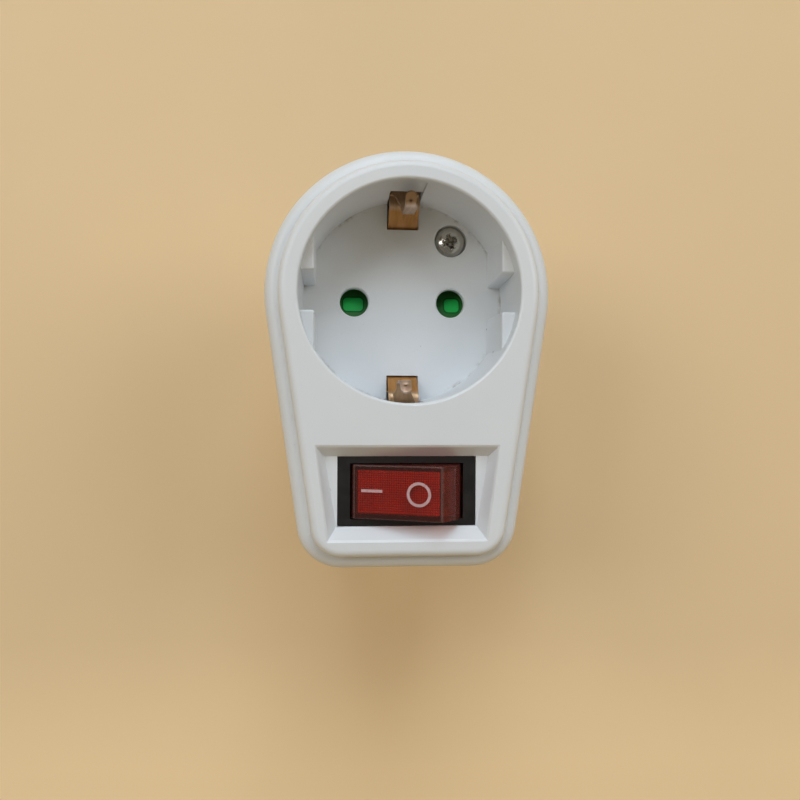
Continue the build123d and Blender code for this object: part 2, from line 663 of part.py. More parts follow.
def neutral_strip():
    """Neutral pin to the switch lamp's blade."""
    strip = strip_run(-LIVE_X, RISER_Y, FLANGE_TOP_Z, SWITCH_X + NEUTRAL_BLADE_X)
    strip += pad(-LIVE_X, FLANGE_TOP_Z, FLANGE_TOP_Z + STRIP)
    return strip - rod(TENON_R + TENON_GAP, -LIVE_X, 0, FLANGE_TOP_Z, FLANGE_TOP_Z + STRIP)


def socket_contact(side):
    """A sprung contact: two leaves that rise from a foot, close to a throat and flare to a mouth."""
    x = side * LIVE_X
    foot_z = LOAD_PAD_Z + STRIP if side > 0 else FLANGE_TOP_Z + STRIP
    half = CONTACT_SHEET / 2
    top_z = CARRIER_TOP_Z - CONTACT_TOP_GAP
    throat_z = top_z - CONTACT_THROAT_DROP
    path = [
        (x - CONTACT_MOUTH_X, top_z),
        (x - CONTACT_THROAT_X - half, throat_z),
        (x - CONTACT_FOOT_X, foot_z + half),
        (x + CONTACT_FOOT_X, foot_z + half),
        (x + CONTACT_THROAT_X + half, throat_z),
        (x + CONTACT_MOUTH_X, top_z),
    ]
    contact = ribbon(path, CONTACT_SHEET, CONTACT_HALF_Y, Plane.XZ, 0)
    if side < 0:
        contact -= rod(TENON_R + TENON_GAP, x, 0, foot_z - half, foot_z + CONTACT_SHEET)
    return contact


def contact_carrier():
    """Insulating block with a chamber for each contact, a barrier over the live pin and shutter rails."""
    half_x = CARRIER_HALF_X
    half_y = CARRIER_HALF_Y
    carrier = block(-half_x, half_x, -half_y, half_y, BARRIER_Z, CARRIER_TOP_Z)
    carrier &= rod(CAVITY_R - CARRIER_GAP, 0, 0, BARRIER_Z, CARRIER_TOP_Z)
    carrier += block(-CARRIER_RIB_HALF, CARRIER_RIB_HALF, RISER_Y + half_y, half_y, PLUG_FACE, BARRIER_Z)
    for side in (-1, 1):
        x = side * LIVE_X
        floor_z = LOAD_PAD_Z if side > 0 else BARRIER_Z
        low = x - CHAMBER_HALF_X
        high = x + CHAMBER_HALF_X
        carrier -= block(low, high, -CHAMBER_HALF_Y, CHAMBER_HALF_Y, floor_z, CARRIER_TOP_Z)
        guide_x = side * (LIVE_X + SHUTTER_PAD_HALF_X + SLIDE_GAP)
        rail = block(
            guide_x,
            guide_x + side * RAIL,
            -half_y,
            SHUTTER_PAD_FRONT_Y,
            CARRIER_TOP_Z,
            CARRIER_TOP_Z + RAIL_HEIGHT,
        )
        carrier += rail & rod(CAVITY_R - CARRIER_GAP, 0, 0, CARRIER_TOP_Z, CARRIER_TOP_Z + RAIL_HEIGHT)
    gap = STRIP_HALF + CARRIER_GAP
    carrier -= block(LIVE_X - gap, LIVE_X + gap, -half_y, 0, LOAD_PAD_Z, LOAD_PAD_Z + STRIP + CARRIER_GAP)
    groove = EARTH_HALF + EARTH_SLOT_GAP
    return carrier - block(-groove, groove, -half_y, half_y, WEB_Z - EARTH_SLOT_GAP, CARRIER_TOP_Z)


def shutter():
    """Sliding shutter: a plate with a ramped pad under each pin hole and a bar for its spring."""
    top = SHUTTER_Z + SHUTTER_HEIGHT
    wide = LIVE_X + SHUTTER_PAD_HALF_X
    back = SHUTTER_PAD_BACK_Y
    front = SHUTTER_PAD_FRONT_Y
    slider = block(-wide, wide, back, front, SHUTTER_Z, SHUTTER_Z + SHUTTER_PLATE)
    slider += block(-SHUTTER_BAR_HALF_X, SHUTTER_BAR_HALF_X, back, 0, SHUTTER_Z, top)
    profile = [
        (back, SHUTTER_Z),
        (front, SHUTTER_Z),
        (front, top - SHUTTER_RAMP_DROP),
        (back + SHUTTER_LAND, top),
        (back, top),
    ]
    for side in (-1, 1):
        face = Plane.YZ.offset(side * LIVE_X) * make_face(Polyline(*profile, close=True))
        slider += extrude(face, SHUTTER_PAD_HALF_X, both=True)
    return slider


def shutter_spring():
    """Spring that closes the shutter."""
    length = SHUTTER_SPRING_LENGTH - 2 * SPRING_END_GAP
    spring = coil(SHUTTER_SPRING_R, SHUTTER_SPRING_WIRE_R, SHUTTER_SPRING_TURNS, length)
    return Pos(0, SHUTTER_PAD_BACK_Y - SPRING_END_GAP, SPRING_AXIS_Z) * Rot(90, 0, 0) * spring


def earth_bridge():
    """Earth strap: the plug's two side contacts and the web that joins them."""
    mid_z = WEB_Z + EARTH_THICK / 2
    path = [
        (-PLUG_EARTH_Y, PLUG_EARTH_FOOT_Z),
        (-PLUG_EARTH_Y, mid_z),
        (PLUG_EARTH_Y, mid_z),
        (PLUG_EARTH_Y, PLUG_EARTH_FOOT_Z),
    ]
    bridge = ribbon(path, EARTH_THICK, EARTH_HALF, Plane.YZ, 0)
    for side in (-1, 1):
        bridge -= rod(EARTH_RIVET_R + TENON_GAP, 0, side * EARTH_RIVET_Y, WEB_Z, CLIP_Z)
    return bridge


def earth_clip(side):
    """Socket earth clip: a foot on the bridge, a ramp with a shelf, and a tongue sprung from its back."""
    foot_y = EARTH_RIVET_Y - EARTH_RIVET_R - CLIP
    foot_z = CLIP_Z + CLIP / 2
    root = (CLIP_BACK_Y, FRONT_Z - ROOT_DROP)
    ramp = [
        (foot_y, foot_z),
        (RAMP_FOOT_Y, foot_z),
        (RAMP_TOP_Y, FRONT_Z - RAMP_TOP_DROP),
        (CLIP_BACK_Y, FRONT_Z - SHELF_BACK_DROP),
        root,
    ]
    tongue = [
        root,
        (TONGUE_FACE_Y, FRONT_Z - TONGUE_FACE_LOW_DROP),
        (TONGUE_FACE_Y, FRONT_Z - TONGUE_FACE_TOP_DROP),
        (TONGUE_TIP_Y, FRONT_Z - TONGUE_TIP_DROP),
    ]
    shoulder = [root[axis] + SHOULDER_SHARE * (tongue[1][axis] - root[axis]) for axis in (0, 1)]
    clip = ribbon(ramp, CLIP, EARTH_HALF, Plane.YZ, 0)
    clip += ribbon([root, tuple(shoulder)], CLIP, SHOULDER_HALF, Plane.YZ, 0)
    clip += ribbon(tongue, CLIP, TONGUE_HALF, Plane.YZ, TONGUE_X)
    clip -= rod(EARTH_RIVET_R + TENON_GAP, 0, EARTH_RIVET_Y, CLIP_Z, CLIP_Z + CLIP)
    return clip if side > 0 else Rot(0, 0, 180) * clip


def earth_rivets():
    """Two rivets that join the clips to the bridge."""
    rivets = []
    for side in (-1, 1):
        y = side * EARTH_RIVET_Y
        shank = rod(EARTH_RIVET_R, 0, y, WEB_Z, CARRIER_TOP_Z)
        rivets.append(fillet(shank.faces().sort_by(Axis.Z)[-1].edges(), EARTH_RIVET_HEAD / 2))
    return Compound(rivets)


def at_switch(piece):
    """Move a piece from the switch's centre line to its place."""
    return Pos(SWITCH_X, SWITCH_Y, 0) * piece


def blade_hole(x, z0, z1):
    """The slot that a blade passes through."""
    half_x = STRIP / 2 + BLADE_GAP
    half_y = BLADE_HALF_Y + BLADE_GAP
    return block(x - half_x, x + half_x, -half_y, half_y, z0, z1)


def switch_frame():
    """Black switch body with its bezel, retaining flange, pivot holes and blade slots."""
    frame = block(-BEZEL_HALF_X, BEZEL_HALF_X, -BEZEL_HALF_Y, BEZEL_HALF_Y, FRAME_Z, BEZEL_TOP_Z)
    flange_x = BEZEL_HALF_X + FRAME_FLANGE_OUT
    flange_y = BEZEL_HALF_Y + FRAME_FLANGE_OUT
    frame += block(-flange_x, flange_x, -flange_y, flange_y, POCKET_UNDER_Z - FRAME_FLANGE, POCKET_UNDER_Z)
    well_x = OPENING_HALF_X
    well_y = OPENING_HALF_Y
    frame -= block(-well_x, well_x, -well_y, well_y, FRAME_FLOOR_Z, BEZEL_TOP_Z)
    hole_y = ROCKER_HALF_Y + TRUNNION + TRUNNION_GAP
    frame -= Pos(0, 0, PIVOT_Z) * Rot(90, 0, 0) * Cylinder(TRUNNION_R + TRUNNION_GAP, 2 * hole_y)
    for x in (NEUTRAL_BLADE_X, 0, LOAD_BLADE_X):
        frame -= blade_hole(x, FRAME_Z, FRAME_FLOOR_Z)
    return at_switch(frame)


def rocker_place():
    """Place and tilt of the rocker when its I side is pressed."""
    return Pos(SWITCH_X, SWITCH_Y, PIVOT_Z) * Rot(0, -ROCKER_TILT, 0)


def rocker_solid(inset):
    """The rocker's outer form about its pivot, moved inwards by inset."""
    r = ROCKER_END_R - inset
    half_y = ROCKER_HALF_Y - inset
    ends = Rot(90, 0, 0) * Cylinder(r, 2 * half_y)
    return ends & block(-r, r, -half_y, half_y, -ROCKER_SKIRT, ROCKER_TOP - inset)


def mark_ring(stroke_half):
    """The O mark's centre line widened to a ring."""
    ring = Circle(MARK_RING_R + stroke_half) - Circle(MARK_RING_R - stroke_half)
    return Pos(MARK_RING_X, MARK_RING_Y, ROCKER_TOP - MARK_DEPTH) * extrude(ring, MARK_DEPTH)


def mark_line():
    """The I mark."""
    half = MARK_STROKE / 2
    low = ROCKER_TOP - MARK_DEPTH
    return block(-MARK_LINE_OUT, -MARK_LINE_IN, MARK_LINE_Y - half, MARK_LINE_Y + half, low, ROCKER_TOP)


def rocker_shell():
    """Translucent rocker: a hollow cap with end walls, trunnions, stem and ribs."""
    body = rocker_solid(0)
    body = fillet(body.faces().sort_by(Axis.Z)[-1].edges(), ROCKER_EDGE_FILLET)
    shell = body - rocker_solid(ROCKER_WALL)
    rib_half_y = ROCKER_HALF_Y - ROCKER_WALL / 2
    shell += block(-STEM_RIB_HALF_X, STEM_RIB_HALF_X, -rib_half_y, rib_half_y, -STEM_RIB_DROP, STEM_TOP)
    shell += rod(STEM_R, 0, 0, -STEM_DROP, STEM_TOP)
    shell -= rod(PLUNGER_R + PLUNGER_GAP, 0, 0, -STEM_DROP, 0)
    for side in (-1, 1):
        pin_y = side * (ROCKER_HALF_Y + TRUNNION / 2)
        shell += Pos(0, pin_y, 0) * Rot(90, 0, 0) * Cylinder(TRUNNION_R, TRUNNION)
    shell = shell - mark_line() - mark_ring(MARK_STROKE / 2)
    return rocker_place() * shell


def rocker_marks():
    """The I and O marks, inlaid in the rocker's face."""
    return rocker_place() * Compound([mark_line(), mark_ring(MARK_STROKE / 2)])


def rocker_diffuser():
    """Light guide under the rocker's face."""
    top = ROCKER_TOP - ROCKER_WALL - DIFFUSER_GAP
    inner = rocker_solid(ROCKER_WALL + DIFFUSER_GAP)
    band = block(-ROCKER_END_R, ROCKER_END_R, -ROCKER_HALF_Y, ROCKER_HALF_Y, top - DIFFUSER, top)
    return rocker_place() * (inner & band)


def plunger():
    """Plunger with a round nose that slides in the rocker's stem."""
    nose = PLUNGER_R
    body = rod(PLUNGER_R, 0, 0, nose - PLUNGER_REACH, PLUNGER_LENGTH - PLUNGER_REACH)
    return rocker_place() * (body + Pos(0, 0, nose - PLUNGER_REACH) * Sphere(nose))


def plunger_spring():
    """Spring between the plunger and the top of the stem's bore."""
    low = PLUNGER_LENGTH - PLUNGER_REACH + SPRING_END_GAP
    spring = coil(PLUNGER_SPRING_R, PLUNGER_SPRING_WIRE_R, PLUNGER_SPRING_TURNS, -low - SPRING_END_GAP)
    return rocker_place() * Pos(0, 0, low) * spring


def lever_place():
    """Place and tilt of the contact lever when the contacts are closed."""
    return Pos(SWITCH_X, SWITCH_Y, LEVER_Z) * Rot(0, LEVER_TILT, 0)


def contact_lever():
    """See-saw lever with raised shoulders, resting on the centre blade."""
    half = LEVER / 2
    path = [
        (LEVER_LEFT_X, LEVER_RISE + half),
        (-LEVER_SHOULDER_X, LEVER_RISE + half),
        (0, half),
        (LEVER_SHOULDER_X, LEVER_RISE + half),
        (TIP_X + TIP_R, LEVER_RISE + half),
    ]
    return lever_place() * ribbon(path, LEVER, LEVER_HALF_Y, Plane.XZ, 0)


def moving_tip():
    """Silver contact under the lever's right arm."""
    return lever_place() * rod(TIP_R, TIP_X, 0, LEVER_RISE - TIP, LEVER_RISE)


def fixed_tip():
    """Silver contact on the load blade's shelf."""
    return at_switch(rod(TIP_R, TIP_X, 0, SHELF_Z, FIXED_TIP_Z))


def load_blade():
    """Load blade with the shelf that carries the fixed contact."""
    right = LOAD_BLADE_X + STRIP / 2
    blade = block(right - STRIP, right, -BLADE_HALF_Y, BLADE_HALF_Y, RUN_Z + STRIP, SHELF_Z)
    shelf = block(TIP_X - TIP_R, right, -BLADE_HALF_Y, BLADE_HALF_Y, SHELF_Z - STRIP, SHELF_Z)
    return at_switch(blade + shelf)


def feed_blade():
    """Centre blade: its top edge is the lever's pivot."""
    top = LEVER_Z - PIVOT_EDGE_GAP
    return at_switch(block(-STRIP / 2, STRIP / 2, -BLADE_HALF_Y, BLADE_HALF_Y, RUN_Z + STRIP, top))


def neutral_blade():
    """Blade for the lamp's neutral lead."""
    return at_switch(
        block(
            NEUTRAL_BLADE_X - STRIP / 2,
            NEUTRAL_BLADE_X + STRIP / 2,
            -BLADE_HALF_Y,
            BLADE_HALF_Y,
            RUN_Z + STRIP,
            FRAME_FLOOR_Z + NEUTRAL_BLADE_TOP,
        )
    )


def lamp():
    """Neon lamp: a small glass tube with round ends."""
    tube = Rot(0, 90, 0) * Cylinder(LAMP_R, LAMP_LENGTH)
    tube = fillet(tube.edges().filter_by(GeomType.CIRCLE), LAMP_R * 0.6)
    return at_switch(Pos(LAMP_X, LAMP_Y, LAMP_Z) * tube)


def lamp_resistor():
    """The lamp's series resistor."""
    body = Rot(0, 90, 0) * Cylinder(RESISTOR_R, RESISTOR_LENGTH)
    body = fillet(body.edges().filter_by(GeomType.CIRCLE), RESISTOR_R / 2)
    return at_switch(Pos(RESISTOR_X, LAMP_Y, LAMP_Z) * body)


def lamp_leads():
    """Bare leads: neutral blade to resistor, resistor to lamp, lamp to load blade."""
    z = LAMP_Z
    shelf_z = SHELF_Z - STRIP / 2
    edge_y = BLADE_HALF_Y + LEAD_R
    left = NEUTRAL_BLADE_X
    lamp_left = LAMP_X - LAMP_LENGTH / 2
    lamp_right = LAMP_X + LAMP_LENGTH / 2
    resistor_left = RESISTOR_X - RESISTOR_LENGTH / 2
    resistor_right = RESISTOR_X + RESISTOR_LENGTH / 2
    leads = [
        wire([(left, edge_y, z), (left, LAMP_Y, z), (resistor_left, LAMP_Y, z)], LEAD_R),
        wire([(resistor_right, LAMP_Y, z), (lamp_left, LAMP_Y, z)], LEAD_R),
        wire(
            [
                (lamp_right, LAMP_Y, z),
                (LOAD_BLADE_X, LAMP_Y, z),
                (LOAD_BLADE_X, LAMP_Y, shelf_z),
                (LOAD_BLADE_X, edge_y, shelf_z),
            ],
            LEAD_R,
        ),
    ]
    return at_switch(Compound(leads))


NODES = {
    "front_cover": front_cover,
    "rear_shell": rear_shell,
    "assembly_screw": assembly_screw,
    "neutral_plug_pin": lambda: plug_pin(-1),
    "live_plug_pin": lambda: plug_pin(1),
    "live_feed_strip": live_feed_strip,
    "live_load_strip": live_load_strip,
    "neutral_strip": neutral_strip,
    "neutral_socket_contact": lambda: socket_contact(-1),
    "live_socket_contact": lambda: socket_contact(1),
    "contact_carrier": contact_carrier,
    "shutter": shutter,
    "shutter_spring": shutter_spring,
    "earth_bridge": earth_bridge,
    "upper_earth_clip": lambda: earth_clip(1),
    "lower_earth_clip": lambda: earth_clip(-1),
    "earth_rivets": earth_rivets,
    "switch_frame": switch_frame,
    "rocker_shell": rocker_shell,
    "rocker_marks": rocker_marks,
    "rocker_diffuser": rocker_diffuser,
    "plunger": plunger,
    "plunger_spring": plunger_spring,
    "contact_lever": contact_lever,
    "moving_tip": moving_tip,
    "fixed_tip": fixed_tip,
    "feed_blade": feed_blade,
    "load_blade": load_blade,
    "neutral_blade": neutral_blade,
    "lamp": lamp,
    "lamp_resistor": lamp_resistor,
    "lamp_leads": lamp_leads,
}

os.makedirs("parts", exist_ok=True)
for name, make in NODES.items():
    export_step(make(), f"parts/{name}.step")
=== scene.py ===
"""Looks of the switched adapter plug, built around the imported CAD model."""

import math

import bpy
from mathutils import Matrix, Vector


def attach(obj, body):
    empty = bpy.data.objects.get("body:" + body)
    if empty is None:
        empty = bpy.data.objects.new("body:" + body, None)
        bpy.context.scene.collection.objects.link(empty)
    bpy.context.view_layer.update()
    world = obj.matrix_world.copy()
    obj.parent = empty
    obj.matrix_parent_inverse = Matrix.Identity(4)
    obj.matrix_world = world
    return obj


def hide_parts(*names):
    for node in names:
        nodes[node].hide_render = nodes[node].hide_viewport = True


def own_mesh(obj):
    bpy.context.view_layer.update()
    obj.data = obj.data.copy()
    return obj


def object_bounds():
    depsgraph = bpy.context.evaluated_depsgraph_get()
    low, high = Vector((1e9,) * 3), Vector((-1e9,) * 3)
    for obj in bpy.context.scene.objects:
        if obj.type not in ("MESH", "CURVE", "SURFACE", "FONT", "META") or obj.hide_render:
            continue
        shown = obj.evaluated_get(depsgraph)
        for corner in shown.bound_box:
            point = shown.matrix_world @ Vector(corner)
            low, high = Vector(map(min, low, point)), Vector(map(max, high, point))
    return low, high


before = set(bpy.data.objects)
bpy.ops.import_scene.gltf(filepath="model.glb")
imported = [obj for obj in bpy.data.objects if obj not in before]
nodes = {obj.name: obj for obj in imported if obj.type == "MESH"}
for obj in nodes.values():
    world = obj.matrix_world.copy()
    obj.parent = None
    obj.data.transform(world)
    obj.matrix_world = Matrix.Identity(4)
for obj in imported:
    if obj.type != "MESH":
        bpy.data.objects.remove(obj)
cad_low, cad_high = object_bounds()

MM = 0.001

# The photograph's camera, about the centre of the plug's pin face.
PHOTO_SIZE = 800
FOCAL_PIXELS = 745.5
SENSOR = 36.0
CAMERA_NEAR = 0.005
CAMERA_FAR = 30.0
CAMERA_PLACE = Vector((-12.12, -17.83, 172.82)) * MM
CAMERA_TURN_X = -0.52
CAMERA_TURN_Y = -4.58
CAMERA_TURN_Z = 0.26

# Places that the looks share with the part.
PIN_TIP_Z = cad_low.z
RECESS_R = 19.5 * MM
RECESS_FLOOR_Z = 26.5 * MM
SWITCH_X = -0.3 * MM
SWITCH_Y = -35.1 * MM
PIVOT_Z = 38.8 * MM
ROCKER_TILT = 19.0

# Dust in the foot of the recess: how far it reaches, and how much it covers there and elsewhere.
DUST_OUT = 0.7 * MM
DUST_UP = 0.9 * MM
DUST_SHARE = 0.75
DUST_ELSEWHERE = 0.6

# The line where the two shells meet, drawn on the outer wall and not in the recess.
SEAM_Z = 30.0 * MM
SEAM_HALF = 0.05 * MM
SEAM_FADE = 0.06 * MM
SEAM_INNER_R = 22.5 * MM
SEAM_SHADE = 0.75

# Dark specks in the recess: place, and how far each reaches, in millimetres.
SPECK_SHADE = 0.8
SPECK_UNEVEN = 0.12 * MM
SPECKS = [
    ((-18.9, -5.2, 42.0), 0.3),
    ((-16.5, -10.4, 40.5), 0.24),
    ((18.4, -0.2, 27.0), 0.34),
    ((18.6, -3.6, 27.0), 0.38),
    ((16.9, -5.0, 26.5), 0.28),
    ((16.8, -9.9, 33.0), 0.3),
    ((16.3, -12.7, 26.5), 0.3),
]

# The rocker's face, about the rocker's pivot, with its margin painted darker as shade and its edge painted
# pale as a highlight.
LENS_TOP = 6.0 * MM
LENS_HALF_X = 7.75 * MM
LENS_HALF_Y = 4.65 * MM
LENS_SKIN_START = 0.4 * MM
LENS_SKIN_FULL = 0.25 * MM
LENS_MARGIN_X = 0.38 * MM
LENS_MARGIN_Y = 0.85 * MM
LENS_EDGE_X = 0.1 * MM
LENS_EDGE_Y = 0.16 * MM
LENS_FADE = 0.1 * MM
LENS_CLEAR = 0.9
LENS_HIGHLIGHT_CLEAR = 0.74

# The light guide under the rocker's face, about the rocker's pivot.
GUIDE_TOP = 4.95 * MM
GUIDE_BOTTOM = 4.15 * MM
GUIDE_UNDERCUT = 0.35 * MM
GUIDE_R = 8.85 * MM
GUIDE_HALF_Y = 3.7 * MM
GUIDE_COLUMNS = 36
GUIDE_ROWS = 18
GROOVE_SHARE = 0.2
GROOVE_DEPTH = 0.13 * MM
GROOVE_MARK = "painted_shade_line"

# The screw, from its point to its crown, in millimetres.
SCREW_X = 9.5
SCREW_Y = 12.3
SCREW_LOW = 10.25
SCREW_SEAT = 24.25
SCREW_TOP = 26.25
SCREW_HEAD_R = 2.9
SCREW_DOME = 1.0
SCREW_CORE_R = 1.25
SCREW_THREAD_R = 1.5
SCREW_PITCH = 1.1
SCREW_THREADS = 11
SCREW_SIDES = 120
SCREW_RINGS = 44

# Its cross recess, which is shallower towards the arms' ends, and the waves and nicks of its torn lip.
SCREW_CROSS_REACH = 1.4
SCREW_CROSS_HALF = 0.42
SCREW_CROSS_DEPTH = 1.0
SCREW_CROSS_RISE = 0.45
SCREW_CROSS_TURN = 20.0
SCREW_CROSS_LIP = 0.3
SCREW_WAVE = 0.12
SCREW_WAVE_X = 7.3
SCREW_WAVE_X_START = 2.1
SCREW_WAVE_Y = 6.1
SCREW_WAVE_Y_START = 0.4
SCREW_NICK = 0.06
SCREW_NICK_X = 17
SCREW_NICK_Y = 11
SCREW_TORN_R = 0.95 * MM
SCREW_TORN_UNEVEN = 0.45 * MM
SCREW_TORN_FADE = 0.15 * MM
SCREW_TORN_METAL = 0.25
SCREW_TORN_ROUGH = 0.5
SCREW_FINE_RELIEF = 0.04
SCREW_MARK = "recess"

# Patches under the pin holes where the shutter's green is painted lighter as a highlight, as if a flat land
# on each ramp caught the light.
GREEN_LIT_PATCHES = [(-11.55 * MM, -7.75 * MM), (8.75 * MM, 11.55 * MM)]
GREEN_LIT_Y = -0.05 * MM
GREEN_LIT_HALF_Y = 1.3 * MM
GREEN_LIT_CORNER = 0.75 * MM
GREEN_LIT_EDGE = 0.4 * MM

# Earth clips. Each stop along the sheet's middle has its distance from the socket's axis, its height and
# its two edges, in millimetres.
CLIP_SHEET = 0.5 * MM
CLIP_BEND = 0.7
CLIP_BEND_RUNS = 2.2
CLIP_BEND_STEPS = 6
CLIP_STEP = 0.14
CLIP_COLUMNS = 18
CLIP_STOPS = [
    (9.3, 20.4, -2.9, 2.9),
    (13.7, 20.4, -2.9, 2.9),
    (14.85, 26.3, -2.9, 2.9),
    (18.2, 30.2, -2.9, 2.9),
    (20.3, 30.3, -2.9, 2.9),
    (20.3, 32.0, -2.4, 2.5),
    (17.4, 33.3, -1.1, 1.7),
    (15.7, 34.0, -0.7, 1.65),
    (15.7, 40.0, -0.75, 1.3),
    (17.6, 42.4, -0.75, 1.2),
]
CLIP_TONGUE_Z = 34.0
CLIP_TONGUE_FADE = 0.6
CLIP_END_LEAST = 0.12
CLIP_LEAN = 0.04
CLIP_DIMPLE_BACK = 1.9
CLIP_DIMPLE_R = 0.42
CLIP_DIMPLE_DEPTH = 0.32
CLIP_DIMPLE_MARK = "dimple"
CLIP_CROWN_R = 1.35
CLIP_CROWN = 0.08
CLIP_RIVET_Y = 11.0
CLIP_RIVET_R = 1.25
CLIP_FOOT_TOP = 21 * MM
CLIP_ROUNDING = 0.07 * MM
CLIP_ROUNDING_STEPS = 2
CLIP_SHARP = 50

# Where the clips' tarnish changes with height, and where the painted shade on the upper clip's tip starts.
CLIP_RAMP_TOP = 29.7 * MM
CLIP_RAMP_FADE = 0.3 * MM
CLIP_RAMP_METAL = 0.55
CLIP_TIP_SHADE_Z = 40.2 * MM
CLIP_TIP_SHADE_FADE = 0.8 * MM

# The range that most of a noise's values fall in.
NOISE_LOW = 0.3
NOISE_HIGH = 0.7

# Each metal: dark and light tone, smoothest and roughest spot, how its streaks stretch, the feature count of
# its grain, and how strongly the grain shows.
METALS = {
    "brass": ((0.56, 0.39, 0.15), (0.68, 0.5, 0.22), 0.2, 0.34, (1.0, 1.0, 5.0), 1400.0, 0.15),
    "bronze": ((0.52, 0.34, 0.2), (0.68, 0.48, 0.33), 0.18, 0.3, (6.0, 1.0, 1.0), 1400.0, 0.15),
    "nickel": ((0.66, 0.645, 0.61), (0.7, 0.685, 0.65), 0.17, 0.23, (1.0, 1.0, 3.0), 1800.0, 0.04),
    "spring_steel": ((0.38, 0.38, 0.38), (0.5, 0.5, 0.5), 0.22, 0.36, (1.0, 1.0, 1.0), 1400.0, 0.15),
    "silver": ((0.68, 0.67, 0.64), (0.78, 0.77, 0.75), 0.2, 0.34, (1.0, 1.0, 1.0), 1400.0, 0.15),
    "tinned_wire": ((0.5, 0.5, 0.49), (0.62, 0.62, 0.6), 0.26, 0.4, (1.0, 1.0, 1.0), 1400.0, 0.15),
}
METAL_MARKS_FINER = 1.5

# Studio: a pale tan floor under the pins, painted lighter beyond the switch end to lift the object's shadow,
# five soft windows and a dim warm room.
FLOOR_HALF = 3.0
FLOOR_COLOUR = (0.84, 0.625, 0.365)
FLOOR_PAINTED_LIGHT = (0.96, 0.72, 0.42)
FLOOR_NEAR_Y = -115 * MM
FLOOR_FAR_Y = -80 * MM
FLOOR_UNEVEN = 0.15
FLOOR_FADE_START = 0.3
FLOOR_FADE_END = 1.0
BACKDROP = (0.60, 0.47, 0.29)
CEILING_COLOUR = (0.16, 0.15, 0.135)
CEILING_START = 0.35
CEILING_FULL = 0.7
ROOM_COLOUR = (0.148, 0.113, 0.05)
WINDOW_DISTANCE = 1.6

# Each window: name, bearing from the socket end, rise, width, height, power, colour.
WINDOWS = [
    ("window_ahead", 0.0, 42.0, 0.8, 0.9, 11.6, (0.76, 0.87, 1.0)),
    ("window_left", -67.0, 47.0, 0.65, 0.7, 5.9, (1.0, 1.0, 1.0)),
    ("window_right", 65.0, 42.0, 0.8, 0.9, 6.0, (1.0, 1.0, 1.0)),
    ("window_foot", 180.0, 34.0, 0.8, 0.8, 2.1, (1.0, 0.72, 0.48)),
    ("window_high", -25.0, 60.0, 0.3, 0.3, 1.5, (0.8, 0.9, 1.0)),
]

# The window behind the switch end only lifts the shade: metal and gloss don't mirror it.
SOFT_FILL = "window_foot"


def turned(degrees_x, degrees_y, degrees_z):
    """A rotation about X, then Y, then Z."""
    turn_x = Matrix.Rotation(math.radians(degrees_x), 4, "X")
    turn_y = Matrix.Rotation(math.radians(degrees_y), 4, "Y")
    turn_z = Matrix.Rotation(math.radians(degrees_z), 4, "Z")
    return turn_z @ turn_y @ turn_x


def make_camera():
    """The camera at the photograph's viewing angle."""
    data = bpy.data.cameras.new("photo_camera")
    data.sensor_width = SENSOR
    data.lens = FOCAL_PIXELS / PHOTO_SIZE * SENSOR
    data.clip_start = CAMERA_NEAR
    data.clip_end = CAMERA_FAR
    camera = bpy.data.objects.new("photo_camera", data)
    turn = turned(CAMERA_TURN_X, CAMERA_TURN_Y, CAMERA_TURN_Z)
    camera.matrix_world = Matrix.Translation(CAMERA_PLACE) @ turn
    bpy.context.scene.collection.objects.link(camera)
    bpy.context.scene.camera = camera


